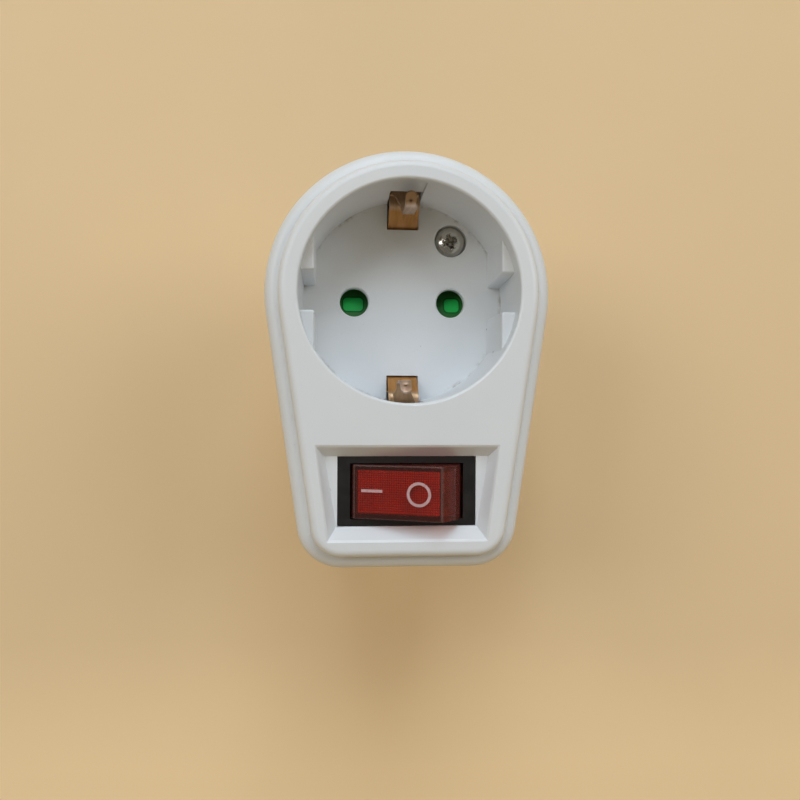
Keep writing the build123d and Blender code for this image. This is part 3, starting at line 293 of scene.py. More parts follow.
class Nodes:
    """Short forms for building a material's nodes."""

    def __init__(self, name, **sockets):
        self.material = bpy.data.materials.new(name)
        self.material.use_nodes = True
        self.tree = self.material.node_tree
        self.shader = self.tree.nodes["Principled BSDF"]
        for socket, value in sockets.items():
            self.shader.inputs[socket.replace("_", " ")].default_value = value

    def add(self, kind, **values):
        node = self.tree.nodes.new(kind)
        for key, value in values.items():
            setattr(node, key, value)
        return node

    def link(self, source, target):
        self.tree.links.new(source, target)

    def place(self):
        """The point of the surface in the row frame, in metres."""
        return self.add("ShaderNodeTexCoord").outputs["Object"]

    def axes(self, point=None):
        """X, Y and Z of a point, or of the surface's own place."""
        split = self.add("ShaderNodeSeparateXYZ")
        self.link(self.place() if point is None else point, split.inputs["Vector"])
        return split.outputs["X"], split.outputs["Y"], split.outputs["Z"]

    def mark(self, name):
        """A point attribute of the mesh."""
        return self.add("ShaderNodeAttribute", attribute_name=name).outputs["Fac"]

    def noise(self, scale, detail=3.0, rough=0.55, stretch=None):
        """Noise of a feature count per metre, stretched along the axes if wanted."""
        node = self.add("ShaderNodeTexNoise")
        node.inputs["Scale"].default_value = scale
        node.inputs["Detail"].default_value = detail
        node.inputs["Roughness"].default_value = rough
        point = self.place()
        if stretch:
            mapping = self.add("ShaderNodeMapping")
            mapping.inputs["Scale"].default_value = stretch
            self.link(point, mapping.inputs["Vector"])
            point = mapping.outputs["Vector"]
        self.link(point, node.inputs["Vector"])
        return node.outputs["Fac"]

    def span(self, value, low, high, to_low=0.0, to_high=1.0):
        """value from low..high mapped to to_low..to_high and held there."""
        node = self.add("ShaderNodeMapRange", clamp=True)
        node.inputs["From Min"].default_value = low
        node.inputs["From Max"].default_value = high
        node.inputs["To Min"].default_value = to_low
        node.inputs["To Max"].default_value = to_high
        self.link(value, node.inputs["Value"])
        return node.outputs["Result"]

    def patches(self, scale, detail, low, high, rough=0.55, stretch=None, to_low=0.0, to_high=1.0):
        """Noise from low..high mapped to to_low..to_high: soft patches that come and go."""
        return self.span(self.noise(scale, detail, rough, stretch), low, high, to_low, to_high)

    def sway(self, scale, detail, low, high, reach, rough=0.55):
        """Noise that moves a value by up to reach to either side."""
        return self.patches(scale, detail, low, high, rough, to_low=-reach, to_high=reach)

    def maths(self, operation, first, second=None):
        node = self.add("ShaderNodeMath", operation=operation)
        for socket, value in zip(node.inputs, (first, second)):
            if value is None:
                continue
            if isinstance(value, (int, float)):
                socket.default_value = value
            else:
                self.link(value, socket)
        return node.outputs["Value"]

    def plus(self, first, second):
        return self.maths("ADD", first, second)

    def minus(self, first, second):
        return self.maths("SUBTRACT", first, second)

    def times(self, first, second):
        return self.maths("MULTIPLY", first, second)

    def most(self, *shares):
        """The largest of several shares."""
        largest = shares[0]
        for share in shares[1:]:
            largest = self.maths("MAXIMUM", largest, share)
        return largest

    def off(self, value, middle):
        """How far a value is from a middle, on either side."""
        return self.maths("ABSOLUTE", self.minus(value, middle))

    def distance(self, x, y):
        """The length of a flat offset."""
        return self.maths("SQRT", self.plus(self.times(x, x), self.times(y, y)))

    def mix(self, share, first, second):
        """Two colours mixed by share."""
        node = self.add("ShaderNodeMix", data_type="RGBA")
        sockets = [s for s in node.inputs if s.type == "RGBA"]
        for socket, value in zip(sockets, (first, second)):
            if isinstance(value, tuple):
                socket.default_value = (*value, 1.0)
            else:
                self.link(value, socket)
        self.link(share, node.inputs["Factor"])
        return [s for s in node.outputs if s.type == "RGBA"][0]

    def bump(self, height, strength, distance):
        node = self.add("ShaderNodeBump")
        node.inputs["Strength"].default_value = strength
        node.inputs["Distance"].default_value = distance
        self.link(height, node.inputs["Height"])
        self.link(node.outputs["Normal"], self.shader.inputs["Normal"])

    def relief(self, scale, detail, strength, depth, rough=0.55, stretch=None):
        """A fine grain on the surface."""
        self.bump(self.noise(scale, detail, rough, stretch), strength, depth)

    def colour(self, source):
        self.link(source, self.shader.inputs["Base Color"])

    def gloss(self, scale, detail, smooth, rough, noise_rough=0.55, stretch=None):
        """Roughness that drifts between smooth and rough."""
        drift = self.patches(scale, detail, NOISE_LOW, NOISE_HIGH, noise_rough, stretch, smooth, rough)
        self.link(drift, self.shader.inputs["Roughness"])


def assign(material, *names):
    """Gives a material to CAD nodes."""
    for name in names:
        mesh = nodes[name].data
        mesh.materials.clear()
        mesh.materials.append(material)


def white_plastic():
    """Cool white satin plastic, with dust and specks in the recess and the line between the shells."""
    plain = (0.74, 0.772, 0.80)
    pale = (0.76, 0.788, 0.812)
    dust = (0.33, 0.31, 0.27)
    dark = (0.1, 0.095, 0.08)
    shade = (0.22, 0.21, 0.19)
    m = Nodes("white_plastic", IOR=1.5)
    tone = m.mix(m.patches(55.0, 4.0, low=0.35, high=0.65), plain, pale)

    # Dust gathers where the recess wall meets its floor, and a little of it elsewhere.
    x, y, z = m.axes()
    out = m.distance(x, y)
    near_wall = m.span(m.off(out, RECESS_R), 0.0, DUST_OUT, 1.0, 0.0)
    near_floor = m.span(m.off(z, RECESS_FLOOR_Z), 0.0, DUST_UP, 1.0, 0.0)
    lint = m.times(m.times(near_wall, near_floor), m.patches(420.0, 5.0, low=0.5, high=0.66, rough=0.7))
    grains = m.patches(1500.0, 2.0, low=0.735, high=0.77, rough=0.5)
    rare = m.patches(120.0, 2.0, low=0.52, high=0.62)
    dirt = m.most(lint, m.times(grains, m.times(rare, DUST_ELSEWHERE)))
    dusty = m.mix(m.times(dirt, DUST_SHARE), tone, dust)

    # Single dark specks, each with an uneven edge.
    uneven = m.sway(2300.0, 3.0, low=0.35, high=0.65, reach=SPECK_UNEVEN, rough=0.6)
    spots = []
    for centre, reach in SPECKS:
        offset = m.add("ShaderNodeVectorMath", operation="DISTANCE")
        m.link(m.place(), offset.inputs[0])
        offset.inputs[1].default_value = Vector(centre) * MM
        spots.append(m.span(m.plus(offset.outputs["Value"], uneven), reach * MM / 2, reach * MM, 1.0, 0.0))
    specked = m.mix(m.times(m.most(*spots), SPECK_SHADE), dusty, dark)

    # The fine line round the outer wall where the two shells meet.
    line = m.span(m.off(z, SEAM_Z), SEAM_HALF, SEAM_HALF + SEAM_FADE, 1.0, 0.0)
    outer = m.span(out, SEAM_INNER_R, SEAM_INNER_R + MM)
    seam = m.times(line, outer)
    m.colour(m.mix(m.times(seam, SEAM_SHADE), specked, shade))

    m.gloss(240.0, 4.0, smooth=0.34, rough=0.44)
    m.relief(2600.0, 3.0, strength=0.12, depth=0.03 * MM, rough=0.6)
    return m.material


def black_plastic():
    """Black moulded bezel, satin, with a faint dusty bloom."""
    m = Nodes("black_plastic", IOR=1.5)
    bloom = m.patches(300.0, 5.0, low=0.45, high=0.8, rough=0.65)
    m.colour(m.mix(bloom, (0.009, 0.0075, 0.0065), (0.02, 0.0165, 0.014)))
    m.gloss(900.0, 3.0, smooth=0.32, rough=0.46)
    m.relief(3200.0, 2.0, strength=0.2, depth=0.02 * MM)
    return m.material


def green_plastic():
    """Glossy green shutter plastic, painted lighter on a patch under each pin hole as a highlight, with a
    painted shadow line at each patch's edge and painted shade round it.
    """
    m = Nodes("green_plastic", IOR=1.5, Specular_IOR_Level=0.05)
    bands = m.patches(160.0, 3.0, low=0.35, high=0.7, rough=0.5, stretch=(1.0, 3.0, 1.0))
    x, y, _ = m.axes()
    lit_patches = []
    for left, right in GREEN_LIT_PATCHES:
        half_x = (right - left) / 2 - GREEN_LIT_CORNER
        half_y = GREEN_LIT_HALF_Y - GREEN_LIT_CORNER
        past_x = m.most(m.minus(m.off(x, (left + right) / 2), half_x), 0.0)
        past_y = m.most(m.minus(m.off(y, GREEN_LIT_Y), half_y), 0.0)
        fade_end = GREEN_LIT_CORNER + GREEN_LIT_EDGE
        lit_patches.append(m.span(m.distance(past_x, past_y), GREEN_LIT_CORNER, fade_end, 1.0, 0.0))
    inside = m.most(*lit_patches)
    # Painted highlight on the patches, painted shade round them (dark), and a painted shadow line at the
    # patches' edge.
    lit_green = m.mix(bands, (0.022, 0.45, 0.085), (0.03, 0.52, 0.11))
    dark = m.mix(bands, (0.03, 0.15, 0.036), (0.04, 0.19, 0.045))
    painted_shade_line = m.times(m.span(inside, 0.0, 0.5), m.span(inside, 0.5, 1.0, 1.0, 0.0))
    m.colour(m.mix(painted_shade_line, m.mix(inside, dark, lit_green), (0.004, 0.05, 0.01)))
    m.gloss(500.0, 2.0, smooth=0.16, rough=0.28)
    m.relief(1800.0, 2.0, strength=0.06, depth=0.03 * MM)
    return m.material


def cream_plastic():
    """Matt thermoset of the contact carrier."""
    m = Nodes("carrier_plastic", IOR=1.5)
    m.colour(m.mix(m.patches(180.0, 4.0, low=0.35, high=0.7), (0.52, 0.5, 0.44), (0.6, 0.58, 0.52)))
    m.gloss(700.0, 3.0, smooth=0.5, rough=0.66)
    m.relief(2400.0, 3.0, strength=0.2, depth=0.03 * MM)
    return m.material


def metal(name, dark, light, smooth, rough, stretch, grain, strength):
    """Metal with drawn streaks, a slightly uneven tone and fine surface marks."""
    m = Nodes(name, Metallic=1.0)
    tone = m.patches(220.0, 4.0, low=NOISE_LOW, high=NOISE_HIGH, rough=0.6, stretch=stretch)
    m.colour(m.mix(tone, dark, light))
    m.gloss(grain, 3.0, smooth, rough, noise_rough=0.6, stretch=stretch)
    m.relief(grain * METAL_MARKS_FINER, 2.0, strength, depth=0.01 * MM, rough=0.5, stretch=stretch)
    return m.material


def red_lens():
    """Clear red plastic of the rocker, painted darker round its face as shade and paler at its edges as a
    painted highlight.
    """
    m = Nodes("red_lens", IOR=1.18, Transmission_Weight=LENS_CLEAR, Specular_IOR_Level=0.3)
    level = m.add("ShaderNodeVectorRotate", rotation_type="Y_AXIS")
    level.inputs["Center"].default_value = (SWITCH_X, SWITCH_Y, PIVOT_Z)
    level.inputs["Angle"].default_value = math.radians(ROCKER_TILT)
    m.link(m.place(), level.inputs["Vector"])
    level_x, level_y, level_z = m.axes(level.outputs["Vector"])
    x = m.off(level_x, SWITCH_X)
    y = m.off(level_y, SWITCH_Y)
    face_z = PIVOT_Z + LENS_TOP
    on_top = m.span(level_z, face_z - LENS_SKIN_START, face_z - LENS_SKIN_FULL)

    def ring(half_x, half_y):
        out = m.most(m.span(x, half_x, half_x + LENS_FADE), m.span(y, half_y, half_y + LENS_FADE))
        return m.times(out, on_top)

    clear = m.mix(m.patches(140.0, 2.0, low=0.35, high=0.65), (0.66, 0.165, 0.125), (0.71, 0.19, 0.15))
    margin = ring(LENS_HALF_X - LENS_MARGIN_X, LENS_HALF_Y - LENS_MARGIN_Y)
    edge = ring(LENS_HALF_X - LENS_EDGE_X, LENS_HALF_Y - LENS_EDGE_Y)
    # The margin is painted darker as shade, and the edge paler and less clear as a painted highlight.
    shaded_margin = m.mix(margin, clear, (0.4, 0.16, 0.14))
    m.colour(m.mix(edge, shaded_margin, (0.4, 0.22, 0.2)))
    m.link(m.span(edge, 0.0, 1.0, LENS_CLEAR, LENS_HIGHLIGHT_CLEAR), m.shader.inputs["Transmission Weight"])
    m.gloss(800.0, 3.0, smooth=0.06, rough=0.14)
    m.relief(1500.0, 2.0, strength=0.05, depth=0.01 * MM)
    return m.material


def red_diffuser():
    """Light guide behind the lens: brighter red, faintly clouded, painted darker in its grooves as shade."""
    m = Nodes("red_diffuser", IOR=1.49)
    cloud = m.mix(m.patches(260.0, 3.0, low=0.35, high=0.7), (0.85, 0.12, 0.07), (0.95, 0.17, 0.1))
    # The grooves are painted dark as shade.
    m.colour(m.mix(m.span(m.mark(GROOVE_MARK), 0.0, 0.8), cloud, (0.15, 0.01, 0.008)))
    m.gloss(900.0, 2.0, smooth=0.3, rough=0.45)
    m.relief(1600.0, 2.0, strength=0.1, depth=0.01 * MM)
    return m.material


def mark_paint():
    """Pale pinkish inlay of the I and O marks, a little worn."""
    m = Nodes("mark_white", IOR=1.5)
    worn = m.patches(1600.0, 4.0, low=0.35, high=0.75, rough=0.7)
    m.colour(m.mix(worn, (0.62, 0.43, 0.45), (0.46, 0.24, 0.25)))
    m.gloss(900.0, 2.0, smooth=0.35, rough=0.5)
    m.relief(2500.0, 2.0, strength=0.15, depth=0.01 * MM)
    return m.material


def lamp_glass():
    """Neon lamp glass, slightly smoked."""
    m = Nodes("lamp_glass", IOR=1.46, Transmission_Weight=0.9)
    m.colour(m.mix(m.patches(200.0, 2.0, low=0.3, high=0.7), (0.9, 0.75, 0.66), (0.95, 0.86, 0.8)))
    m.gloss(600.0, 2.0, smooth=0.04, rough=0.1)
    return m.material


def resistor_lacquer():
    """Lacquered resistor body."""
    m = Nodes("resistor_body", IOR=1.5)
    m.colour(m.mix(m.patches(500.0, 3.0, low=0.35, high=0.7), (0.42, 0.31, 0.18), (0.52, 0.4, 0.25)))
    m.gloss(900.0, 2.0, smooth=0.3, rough=0.45)
    m.relief(1500.0, 2.0, strength=0.2, depth=0.02 * MM)
    return m.material


def clip_bronze():
    """Bronze of the earth clips: tarnished orange low down, browner on the shoulders, pale on the tongue,
    with painted shade on the upper clip's tip and in the dimple.
    """
    m = Nodes("clip_bronze", Metallic=1.0)
    _, y, z = m.axes()
    streaks = m.patches(900.0, 4.0, low=0.36, high=0.64, rough=0.6, stretch=(1.0, 0.25, 0.12))
    ramp = m.mix(streaks, (0.4, 0.19, 0.055), (0.54, 0.27, 0.09))
    shoulder = m.mix(streaks, (0.4, 0.26, 0.145), (0.56, 0.38, 0.235))
    tongue = m.mix(streaks, (0.5, 0.36, 0.26), (0.74, 0.57, 0.46))
    on_shoulder = m.span(z, CLIP_RAMP_TOP - CLIP_RAMP_FADE, CLIP_RAMP_TOP + CLIP_RAMP_FADE)
    on_tongue = m.span(z, CLIP_TONGUE_Z * MM, (CLIP_TONGUE_Z + CLIP_TONGUE_FADE) * MM)
    worn = m.mix(on_tongue, m.mix(on_shoulder, ramp, shoulder), tongue)

    # The upper clip's tip is painted darker as shade; the lower clip's is not.
    tip = m.times(m.span(z, CLIP_TIP_SHADE_Z, CLIP_TIP_SHADE_Z + CLIP_TIP_SHADE_FADE), m.span(y, 0.0, MM))
    with_tip_shade = m.mix(tip, worn, (0.3, 0.19, 0.1))
    # The dimple is painted dark as shade.
    m.colour(m.mix(m.span(m.mark(CLIP_DIMPLE_MARK), 0.15, 0.7), with_tip_shade, (0.14, 0.055, 0.02)))
    m.link(m.span(z, RECESS_FLOOR_Z, CLIP_RAMP_TOP, CLIP_RAMP_METAL, 1.0), m.shader.inputs["Metallic"])
    m.gloss(1400.0, 3.0, smooth=0.42, rough=0.56, noise_rough=0.6, stretch=(1.0, 0.3, 0.2))
    m.relief(2100.0, 2.0, strength=0.2, depth=0.01 * MM, rough=0.5, stretch=(1.0, 0.3, 0.15))
    return m.material


def screw_steel():
    """Plated screw steel, torn and grimy where a driver has slipped out of the cross recess, and painted
    dark inside the recess as shade.
    """
    m = Nodes("screw_steel")
    row_x, row_y, _ = m.axes()
    out = m.distance(m.minus(row_x, SCREW_X * MM), m.minus(row_y, SCREW_Y * MM))
    uneven = m.sway(900.0, 3.0, low=NOISE_LOW, high=NOISE_HIGH, reach=SCREW_TORN_UNEVEN, rough=0.6)
    ragged = m.span(m.plus(out, uneven), SCREW_TORN_R, SCREW_TORN_R + SCREW_TORN_FADE, 1.0, 0.0)
    # The torn mask also takes in the cross recess itself, so the recess is painted dark as shade, along with
    # the grime of the torn lip.
    torn = m.most(ragged, m.span(m.mark(SCREW_MARK), 0.1, 0.6))
    steel = m.mix(m.patches(260.0, 3.0, low=0.35, high=0.7), (0.6, 0.57, 0.5), (0.74, 0.71, 0.64))
    dirt = m.patches(1900.0, 4.0, low=0.42, high=0.56, rough=0.7)
    grime_and_recess_shade = m.mix(dirt, (0.045, 0.042, 0.03), (0.42, 0.4, 0.34))
    m.colour(m.mix(torn, steel, grime_and_recess_shade))
    m.link(m.span(torn, 0.0, 1.0, 1.0, SCREW_TORN_METAL), m.shader.inputs["Metallic"])
    smooth = m.patches(1400.0, 3.0, low=NOISE_LOW, high=NOISE_HIGH, to_low=0.16, to_high=0.23)
    m.link(m.most(smooth, m.times(torn, SCREW_TORN_ROUGH)), m.shader.inputs["Roughness"])
    fine = m.times(m.noise(2100.0, 2.0), SCREW_FINE_RELIEF)
    coarse = m.times(torn, m.noise(2600.0, 3.0, 0.7))
    m.bump(m.plus(fine, coarse), strength=0.5, distance=0.03 * MM)
    return m.material


def make_piece(name, points, faces, material):
    """A smooth mesh piece of the scene."""
    mesh = bpy.data.meshes.new(name)
    mesh.from_pydata([tuple(p) for p in points], [], faces)
    mesh.update()
    for polygon in mesh.polygons:
        polygon.use_smooth = True
    mesh.materials.append(material)
    piece = bpy.data.objects.new(name, mesh)
    bpy.context.scene.collection.objects.link(piece)
    return piece


def add_mark(piece, name, values):
    """Keeps a value at each point of a piece for its material."""
    mark = piece.data.attributes.new(name, "FLOAT", "POINT")
    for index, value in enumerate(values):
        mark.data[index].value = value


def recess_share(x, y):
    """How deep the screw's torn cross recess is at a point, from 0 to 1 of its depth."""
    turn = math.radians(SCREW_CROSS_TURN)
    along = abs(x * math.cos(turn) + y * math.sin(turn))
    across = abs(y * math.cos(turn) - x * math.sin(turn))
    one_arm = max(along - SCREW_CROSS_REACH, across - SCREW_CROSS_HALF)
    other_arm = max(across - SCREW_CROSS_REACH, along - SCREW_CROSS_HALF)
    wave_x = math.sin(SCREW_WAVE_X * x + SCREW_WAVE_X_START)
    wave_y = math.sin(SCREW_WAVE_Y * y + SCREW_WAVE_Y_START)
    ragged = SCREW_WAVE * wave_x * wave_y + SCREW_NICK * math.sin(SCREW_NICK_X * x + SCREW_NICK_Y * y)
    inside = min(1.0, max(0.0, 0.5 - (min(one_arm, other_arm) + ragged) / SCREW_CROSS_LIP))
    return inside * inside * (3 - 2 * inside)


def make_screw(material):
    """The screw: a low domed head with its torn recess, and a threaded shank."""
    dome_r = (SCREW_HEAD_R ** 2 + SCREW_DOME ** 2) / (2 * SCREW_DOME)
    rows = [(SCREW_HEAD_R * (i + 1) / SCREW_RINGS, None) for i in range(SCREW_RINGS)]
    rows += [(SCREW_HEAD_R, SCREW_SEAT), (SCREW_CORE_R, SCREW_SEAT)]
    for thread in reversed(range(SCREW_THREADS)):
        z = SCREW_LOW + (thread + 0.5) * SCREW_PITCH
        rows += [(SCREW_THREAD_R, z + SCREW_PITCH / 2), (SCREW_CORE_R, z)]
    rows.append((SCREW_CORE_R / 2, SCREW_LOW))
    points = []
    shares = []

    def add_point(x, y, z):
        """A point of the screw, on the dome where it has no height of its own."""
        share = 0.0
        if z is None:
            out = math.hypot(x, y)
            share = recess_share(x, y)
            z = SCREW_TOP - dome_r + math.sqrt(dome_r ** 2 - out ** 2)
            z -= SCREW_CROSS_DEPTH * share * (1 - SCREW_CROSS_RISE * min(1.0, out / SCREW_CROSS_REACH))
        points.append(Vector((SCREW_X + x, SCREW_Y + y, z)) * MM)
        shares.append(share)

    add_point(0.0, 0.0, None)
    for out, z in rows:
        for i in range(SCREW_SIDES):
            angle = 2 * math.pi * i / SCREW_SIDES
            add_point(out * math.cos(angle), out * math.sin(angle), z)
    faces = [[0, 1 + i, 1 + (i + 1) % SCREW_SIDES] for i in range(SCREW_SIDES)]
    for row in range(len(rows) - 1):
        inner = 1 + row * SCREW_SIDES
        outer = inner + SCREW_SIDES
        for i in range(SCREW_SIDES):
            j = (i + 1) % SCREW_SIDES
            faces.append([inner + i, outer + i, outer + j, inner + j])
    last = 1 + (len(rows) - 1) * SCREW_SIDES
    faces.append([last + i for i in reversed(range(SCREW_SIDES))])
    piece = make_piece("cross_screw", points, faces, material)
    for polygon in piece.data.polygons[SCREW_SIDES * SCREW_RINGS:]:
        polygon.use_smooth = False
    add_mark(piece, SCREW_MARK, shares)
    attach(piece, "housing")
    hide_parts("assembly_screw")


def clip_stations():
    """Stops along the clip's sheet at an even step, with rounded bends."""
    stops = [Vector(stop) for stop in CLIP_STOPS]
    path = [stops[0]]
    for before, here, after in zip(stops, stops[1:], stops[2:]):
        back = (before - here).normalized() * min(CLIP_BEND, (before - here).length / CLIP_BEND_RUNS)
        on = (after - here).normalized() * min(CLIP_BEND, (after - here).length / CLIP_BEND_RUNS)
        for step in range(CLIP_BEND_STEPS + 1):
            t = step / CLIP_BEND_STEPS
            path.append((here + back) * (1 - t) ** 2 + here * 2 * t * (1 - t) + (here + on) * t ** 2)
    path.append(stops[-1])
    even = [path[0]]
    for before, here in zip(path, path[1:]):
        count = max(1, round((here - before).length / CLIP_STEP))
        even += [before.lerp(here, (i + 1) / count) for i in range(count)]
    return even


def make_clip(name, node, side, material):
    """A bent earth clip: foot, ramp, shelf, flared shoulders and a tongue with a round dimpled tip."""
    stations = clip_stations()
    run = [0.0]
    for before, here in zip(stations, stations[1:]):
        run.append(run[-1] + math.dist(before[:2], here[:2]))
    end = run[-1]
    points = []
    pits = []
    for index, (out, height, left, right) in enumerate(stations):
        ahead = stations[min(index + 1, len(stations) - 1)]
        behind = stations[max(index - 1, 0)]
        along = Vector((ahead[0] - behind[0], ahead[1] - behind[1])).normalized()
        normal = Vector((-along.y, along.x))
        half = (right - left) / 2
        to_end = end - run[index]
        if to_end < half:
            half = max(math.sqrt(half ** 2 - (half - to_end) ** 2), half * CLIP_END_LEAST)
        middle = (left + right) / 2
        for column in range(CLIP_COLUMNS + 1):
            across = (2 * column / CLIP_COLUMNS - 1) * half
            from_dimple = math.hypot(across, to_end - CLIP_DIMPLE_BACK)
            pit = math.exp(-((from_dimple / CLIP_DIMPLE_R) ** 2))
            crown = max(0.0, 1 - to_end / (2 * CLIP_CROWN_R)) * (from_dimple / CLIP_CROWN_R) ** 2
            sink = CLIP_DIMPLE_DEPTH * pit + CLIP_CROWN * crown
            lean = CLIP_LEAN * max(0.0, height - CLIP_TONGUE_Z) * (side < 0)
            x = middle + across + lean
            y = out - sink * normal.x
            z = height - sink * normal.y
            points.append(Vector((side * x, side * y, z)) * MM)
            pits.append(pit)

    # The sheet's faces, with a round hole left for the rivet.
    wide = CLIP_COLUMNS + 1
    faces = []
    for row in range(len(stations) - 1):
        for column in range(CLIP_COLUMNS):
            first = row * wide + column
            corners = [first, first + 1, first + wide + 1, first + wide]
            centre = sum((points[i] for i in corners), Vector()) / 4
            from_rivet = math.hypot(centre.x, abs(centre.y) - CLIP_RIVET_Y * MM)
            if from_rivet < CLIP_RIVET_R * MM and centre.z < CLIP_FOOT_TOP:
                continue
            faces.append(corners)
    piece = make_piece(name, points, faces, material)
    add_mark(piece, CLIP_DIMPLE_MARK, pits)
    sheet = piece.modifiers.new("sheet", "SOLIDIFY")
    sheet.thickness = CLIP_SHEET
    sheet.offset = 0.0
    edge = piece.modifiers.new("edge", "BEVEL")
    edge.width = CLIP_ROUNDING
    edge.segments = CLIP_ROUNDING_STEPS
    edge.limit_method = "ANGLE"
    edge.angle_limit = math.radians(CLIP_SHARP)
    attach(piece, "housing")
    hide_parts(node)


def groove_marks(half, count):
    """Places across the light guide, each with whether it is the bottom of a groove."""
    pitch = 2 * half / count
    places = [(-half, False)]
    for i in range(count):
        start = -half + i * pitch
        places.append((start + GROOVE_SHARE * pitch, False))
        places.append((start + (1 - GROOVE_SHARE) * pitch, False))
        if i < count - 1:
            places.append((start + pitch, True))
    return places + [(half, False)]


def make_guide(material):
    """The light guide under the rocker's face, with its top grooved into small squares."""
    half_x = math.sqrt(GUIDE_R ** 2 - GUIDE_TOP ** 2)
    foot_x = half_x - GUIDE_UNDERCUT
    xs = groove_marks(half_x, GUIDE_COLUMNS)
    ys = groove_marks(GUIDE_HALF_Y, GUIDE_ROWS)
    points = []
    sunk = []
    for y, groove_y in ys:
        for x, groove_x in xs:
            in_groove = groove_x or groove_y
            points.append(Vector((x, y, GUIDE_TOP - GROOVE_DEPTH * in_groove)))
            sunk.append(float(in_groove))
    wide, deep = len(xs), len(ys)
    faces = []
    for row in range(deep - 1):
        for column in range(wide - 1):
            first = row * wide + column
            faces.append([first, first + 1, first + wide + 1, first + wide])
    border = list(range(wide))
    border += [row * wide + wide - 1 for row in range(1, deep)]
    border += [(deep - 1) * wide + column for column in range(wide - 2, -1, -1)]
    border += [row * wide for row in range(deep - 2, 0, -1)]
    foot = len(points)
    for index in border:
        top = points[index]
        points.append(Vector((top.x * foot_x / half_x, top.y, GUIDE_BOTTOM)))
    count = len(border)
    for i in range(count):
        j = (i + 1) % count
        faces.append([border[i], foot + i, foot + j, border[j]])
    faces.append([foot + i for i in reversed(range(count))])
    tilt = Matrix.Rotation(math.radians(-ROCKER_TILT), 4, "Y")
    place = Matrix.Translation((SWITCH_X, SWITCH_Y, PIVOT_Z)) @ tilt
    piece = make_piece("grooved_guide", [place @ point for point in points], faces, material)
    add_mark(piece, GROOVE_MARK, sunk)
    for polygon in piece.data.polygons:
        polygon.use_smooth = False
    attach(piece, "rocker")
    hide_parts("rocker_diffuser")


def make_spring(name, node, body, material):
    """A copy of a CAD spring's mesh on its body, in place of the CAD node."""
    mesh = nodes[node].data.copy()
    mesh.materials.clear()
    mesh.materials.append(material)
    piece = bpy.data.objects.new(name, mesh)
    bpy.context.scene.collection.objects.link(piece)
    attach(piece, body)
    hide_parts(node)
    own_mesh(piece)


def dress_nodes():
    """Every CAD node's material, and the fuller pieces that replace some nodes."""
    white = white_plastic()
    metals = {name: metal(name, *finish) for name, finish in METALS.items()}
    assign(white, "front_cover", "rear_shell")
    steel = screw_steel()
    assign(steel, "assembly_screw")
    make_screw(steel)
    assign(metals["nickel"], "neutral_plug_pin", "live_plug_pin", "earth_bridge")
    assign(metals["brass"], "live_feed_strip", "live_load_strip", "neutral_strip")
    assign(metals["brass"], "neutral_socket_contact", "live_socket_contact", "earth_rivets")
    assign(metals["brass"], "contact_lever", "feed_blade", "load_blade", "neutral_blade")
    assign(cream_plastic(), "contact_carrier")
    assign(green_plastic(), "shutter")
    spring = metals["spring_steel"]
    assign(spring, "shutter_spring", "plunger_spring")
    make_spring("shutter_return_coil", "shutter_spring", "housing", spring)
    make_spring("plunger_coil", "plunger_spring", "rocker", spring)
    assign(metals["bronze"], "upper_earth_clip", "lower_earth_clip")
    tarnished = clip_bronze()
    make_clip("upper_clip_sheet", "upper_earth_clip", 1, tarnished)
    make_clip("lower_clip_sheet", "lower_earth_clip", -1, tarnished)
    assign(black_plastic(), "switch_frame", "plunger")
    assign(red_lens(), "rocker_shell")
    guide = red_diffuser()
    assign(guide, "rocker_diffuser")
    make_guide(guide)
    assign(mark_paint(), "rocker_marks")
    assign(metals["silver"], "moving_tip", "fixed_tip")
    assign(lamp_glass(), "lamp")
    assign(resistor_lacquer(), "lamp_resistor")
    assign(metals["tinned_wire"], "lamp_leads")


def make_floor():
    """A large plain floor at the pins' tips, painted lighter beyond the switch end to lift the object's
    shadow.
    """
    mesh = bpy.data.meshes.new("floor")
    h = FLOOR_HALF
    z = PIN_TIP_Z
    mesh.from_pydata([(-h, -h, z), (h, -h, z), (h, h, z), (-h, h, z)], [], [(0, 1, 2, 3)])
    floor = bpy.data.objects.new("floor", mesh)
    bpy.context.scene.collection.objects.link(floor)
    m = Nodes("floor_paper", IOR=1.4)
    _, y, _ = m.axes()
    # Painted light: the floor turns lighter beyond the switch end, to lift the far end of the object's
    # shadow.
    painted_light_share = m.span(y, FLOOR_NEAR_Y, FLOOR_FAR_Y, 1.0, 0.0)
    uneven = m.sway(9.0, 3.0, low=0.35, high=0.65, reach=FLOOR_UNEVEN)
    m.colour(m.mix(m.plus(painted_light_share, uneven), FLOOR_COLOUR, FLOOR_PAINTED_LIGHT))
    m.gloss(40.0, 3.0, smooth=0.6, rough=0.75)
    m.relief(900.0, 4.0, strength=0.1, depth=0.05 * MM, rough=0.6)

    # Far from the plug, what looks at the floor sees the backdrop's own colour.
    reach = m.add("ShaderNodeVectorMath", operation="LENGTH")
    m.link(m.place(), reach.inputs[0])
    path = m.add("ShaderNodeLightPath")
    looked_at = m.plus(path.outputs["Is Camera Ray"], path.outputs["Is Glossy Ray"])
    looked_at = m.maths("MINIMUM", m.plus(looked_at, path.outputs["Is Transmission Ray"]), 1.0)
    fade = m.times(m.span(reach.outputs["Value"], FLOOR_FADE_START, FLOOR_FADE_END), looked_at)
    far = m.add("ShaderNodeEmission")
    far.inputs["Color"].default_value = (*BACKDROP, 1.0)
    blend = m.add("ShaderNodeMixShader")
    m.link(fade, blend.inputs["Fac"])
    m.link(m.shader.outputs["BSDF"], blend.inputs[1])
    m.link(far.outputs["Emission"], blend.inputs[2])
    m.link(blend.outputs["Shader"], m.tree.nodes["Material Output"].inputs["Surface"])
    mesh.materials.append(m.material)


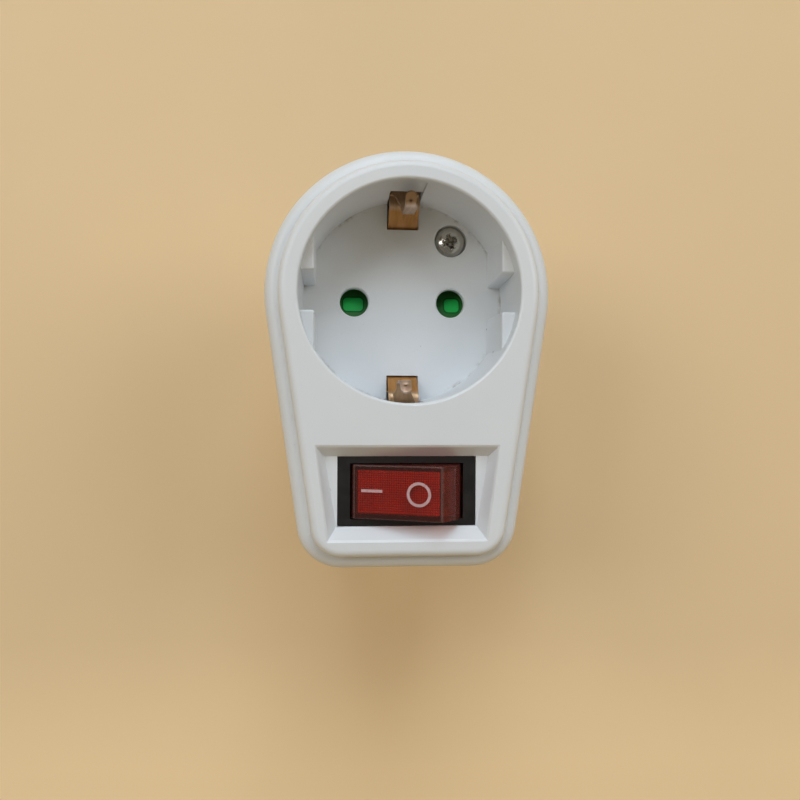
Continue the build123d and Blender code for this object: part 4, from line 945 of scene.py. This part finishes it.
def make_windows():
    """Soft windows that face the plug."""
    for name, bearing, rise, width, height, power, colour in WINDOWS:
        data = bpy.data.lights.new(name, "AREA")
        data.shape = "RECTANGLE"
        data.size = width
        data.size_y = height
        data.energy = power
        data.color = colour
        level = math.cos(math.radians(rise))
        towards = Vector((
            level * math.sin(math.radians(bearing)),
            level * math.cos(math.radians(bearing)),
            math.sin(math.radians(rise)),
        ))
        window = bpy.data.objects.new(name, data)
        window.location = towards * WINDOW_DISTANCE
        window.rotation_euler = (-towards).to_track_quat("-Z", "Y").to_euler()
        window.visible_glossy = name != SOFT_FILL
        bpy.context.scene.collection.objects.link(window)


def make_room():
    """Dim warm light from all round, with a pale backdrop for the camera, metal and glass."""
    world = bpy.data.worlds.new("room")
    bpy.context.scene.world = world
    world.use_nodes = True
    tree = world.node_tree
    tree.nodes.clear()

    def add(kind):
        return tree.nodes.new(kind)

    path = add("ShaderNodeLightPath")
    seen = None
    for ray in ("Is Camera Ray", "Is Glossy Ray", "Is Transmission Ray"):
        if seen is None:
            seen = path.outputs[ray]
            continue
        total = add("ShaderNodeMath")
        total.operation = "ADD"
        total.use_clamp = True
        tree.links.new(seen, total.inputs[0])
        tree.links.new(path.outputs[ray], total.inputs[1])
        seen = total.outputs[0]

    # The backdrop darkens towards the ceiling.
    split = add("ShaderNodeSeparateXYZ")
    tree.links.new(add("ShaderNodeTexCoord").outputs["Generated"], split.inputs["Vector"])
    rise = add("ShaderNodeMapRange")
    rise.clamp = True
    rise.inputs["From Min"].default_value = CEILING_START
    rise.inputs["From Max"].default_value = CEILING_FULL
    tree.links.new(split.outputs["Z"], rise.inputs["Value"])
    fade = add("ShaderNodeMix")
    fade.data_type = "RGBA"
    colours = [s for s in fade.inputs if s.type == "RGBA"]
    colours[0].default_value = (*BACKDROP, 1.0)
    colours[1].default_value = (*CEILING_COLOUR, 1.0)
    tree.links.new(rise.outputs["Result"], fade.inputs["Factor"])

    room = add("ShaderNodeBackground")
    room.inputs["Color"].default_value = (*ROOM_COLOUR, 1.0)
    backdrop = add("ShaderNodeBackground")
    tree.links.new([s for s in fade.outputs if s.type == "RGBA"][0], backdrop.inputs["Color"])
    choose = add("ShaderNodeMixShader")
    tree.links.new(seen, choose.inputs["Fac"])
    tree.links.new(room.outputs[0], choose.inputs[1])
    tree.links.new(backdrop.outputs[0], choose.inputs[2])
    out = add("ShaderNodeOutputWorld")
    tree.links.new(choose.outputs[0], out.inputs["Surface"])


dress_nodes()
make_floor()
make_windows()
make_room()
make_camera()
bpy.context.scene.view_settings.view_transform = "Standard"
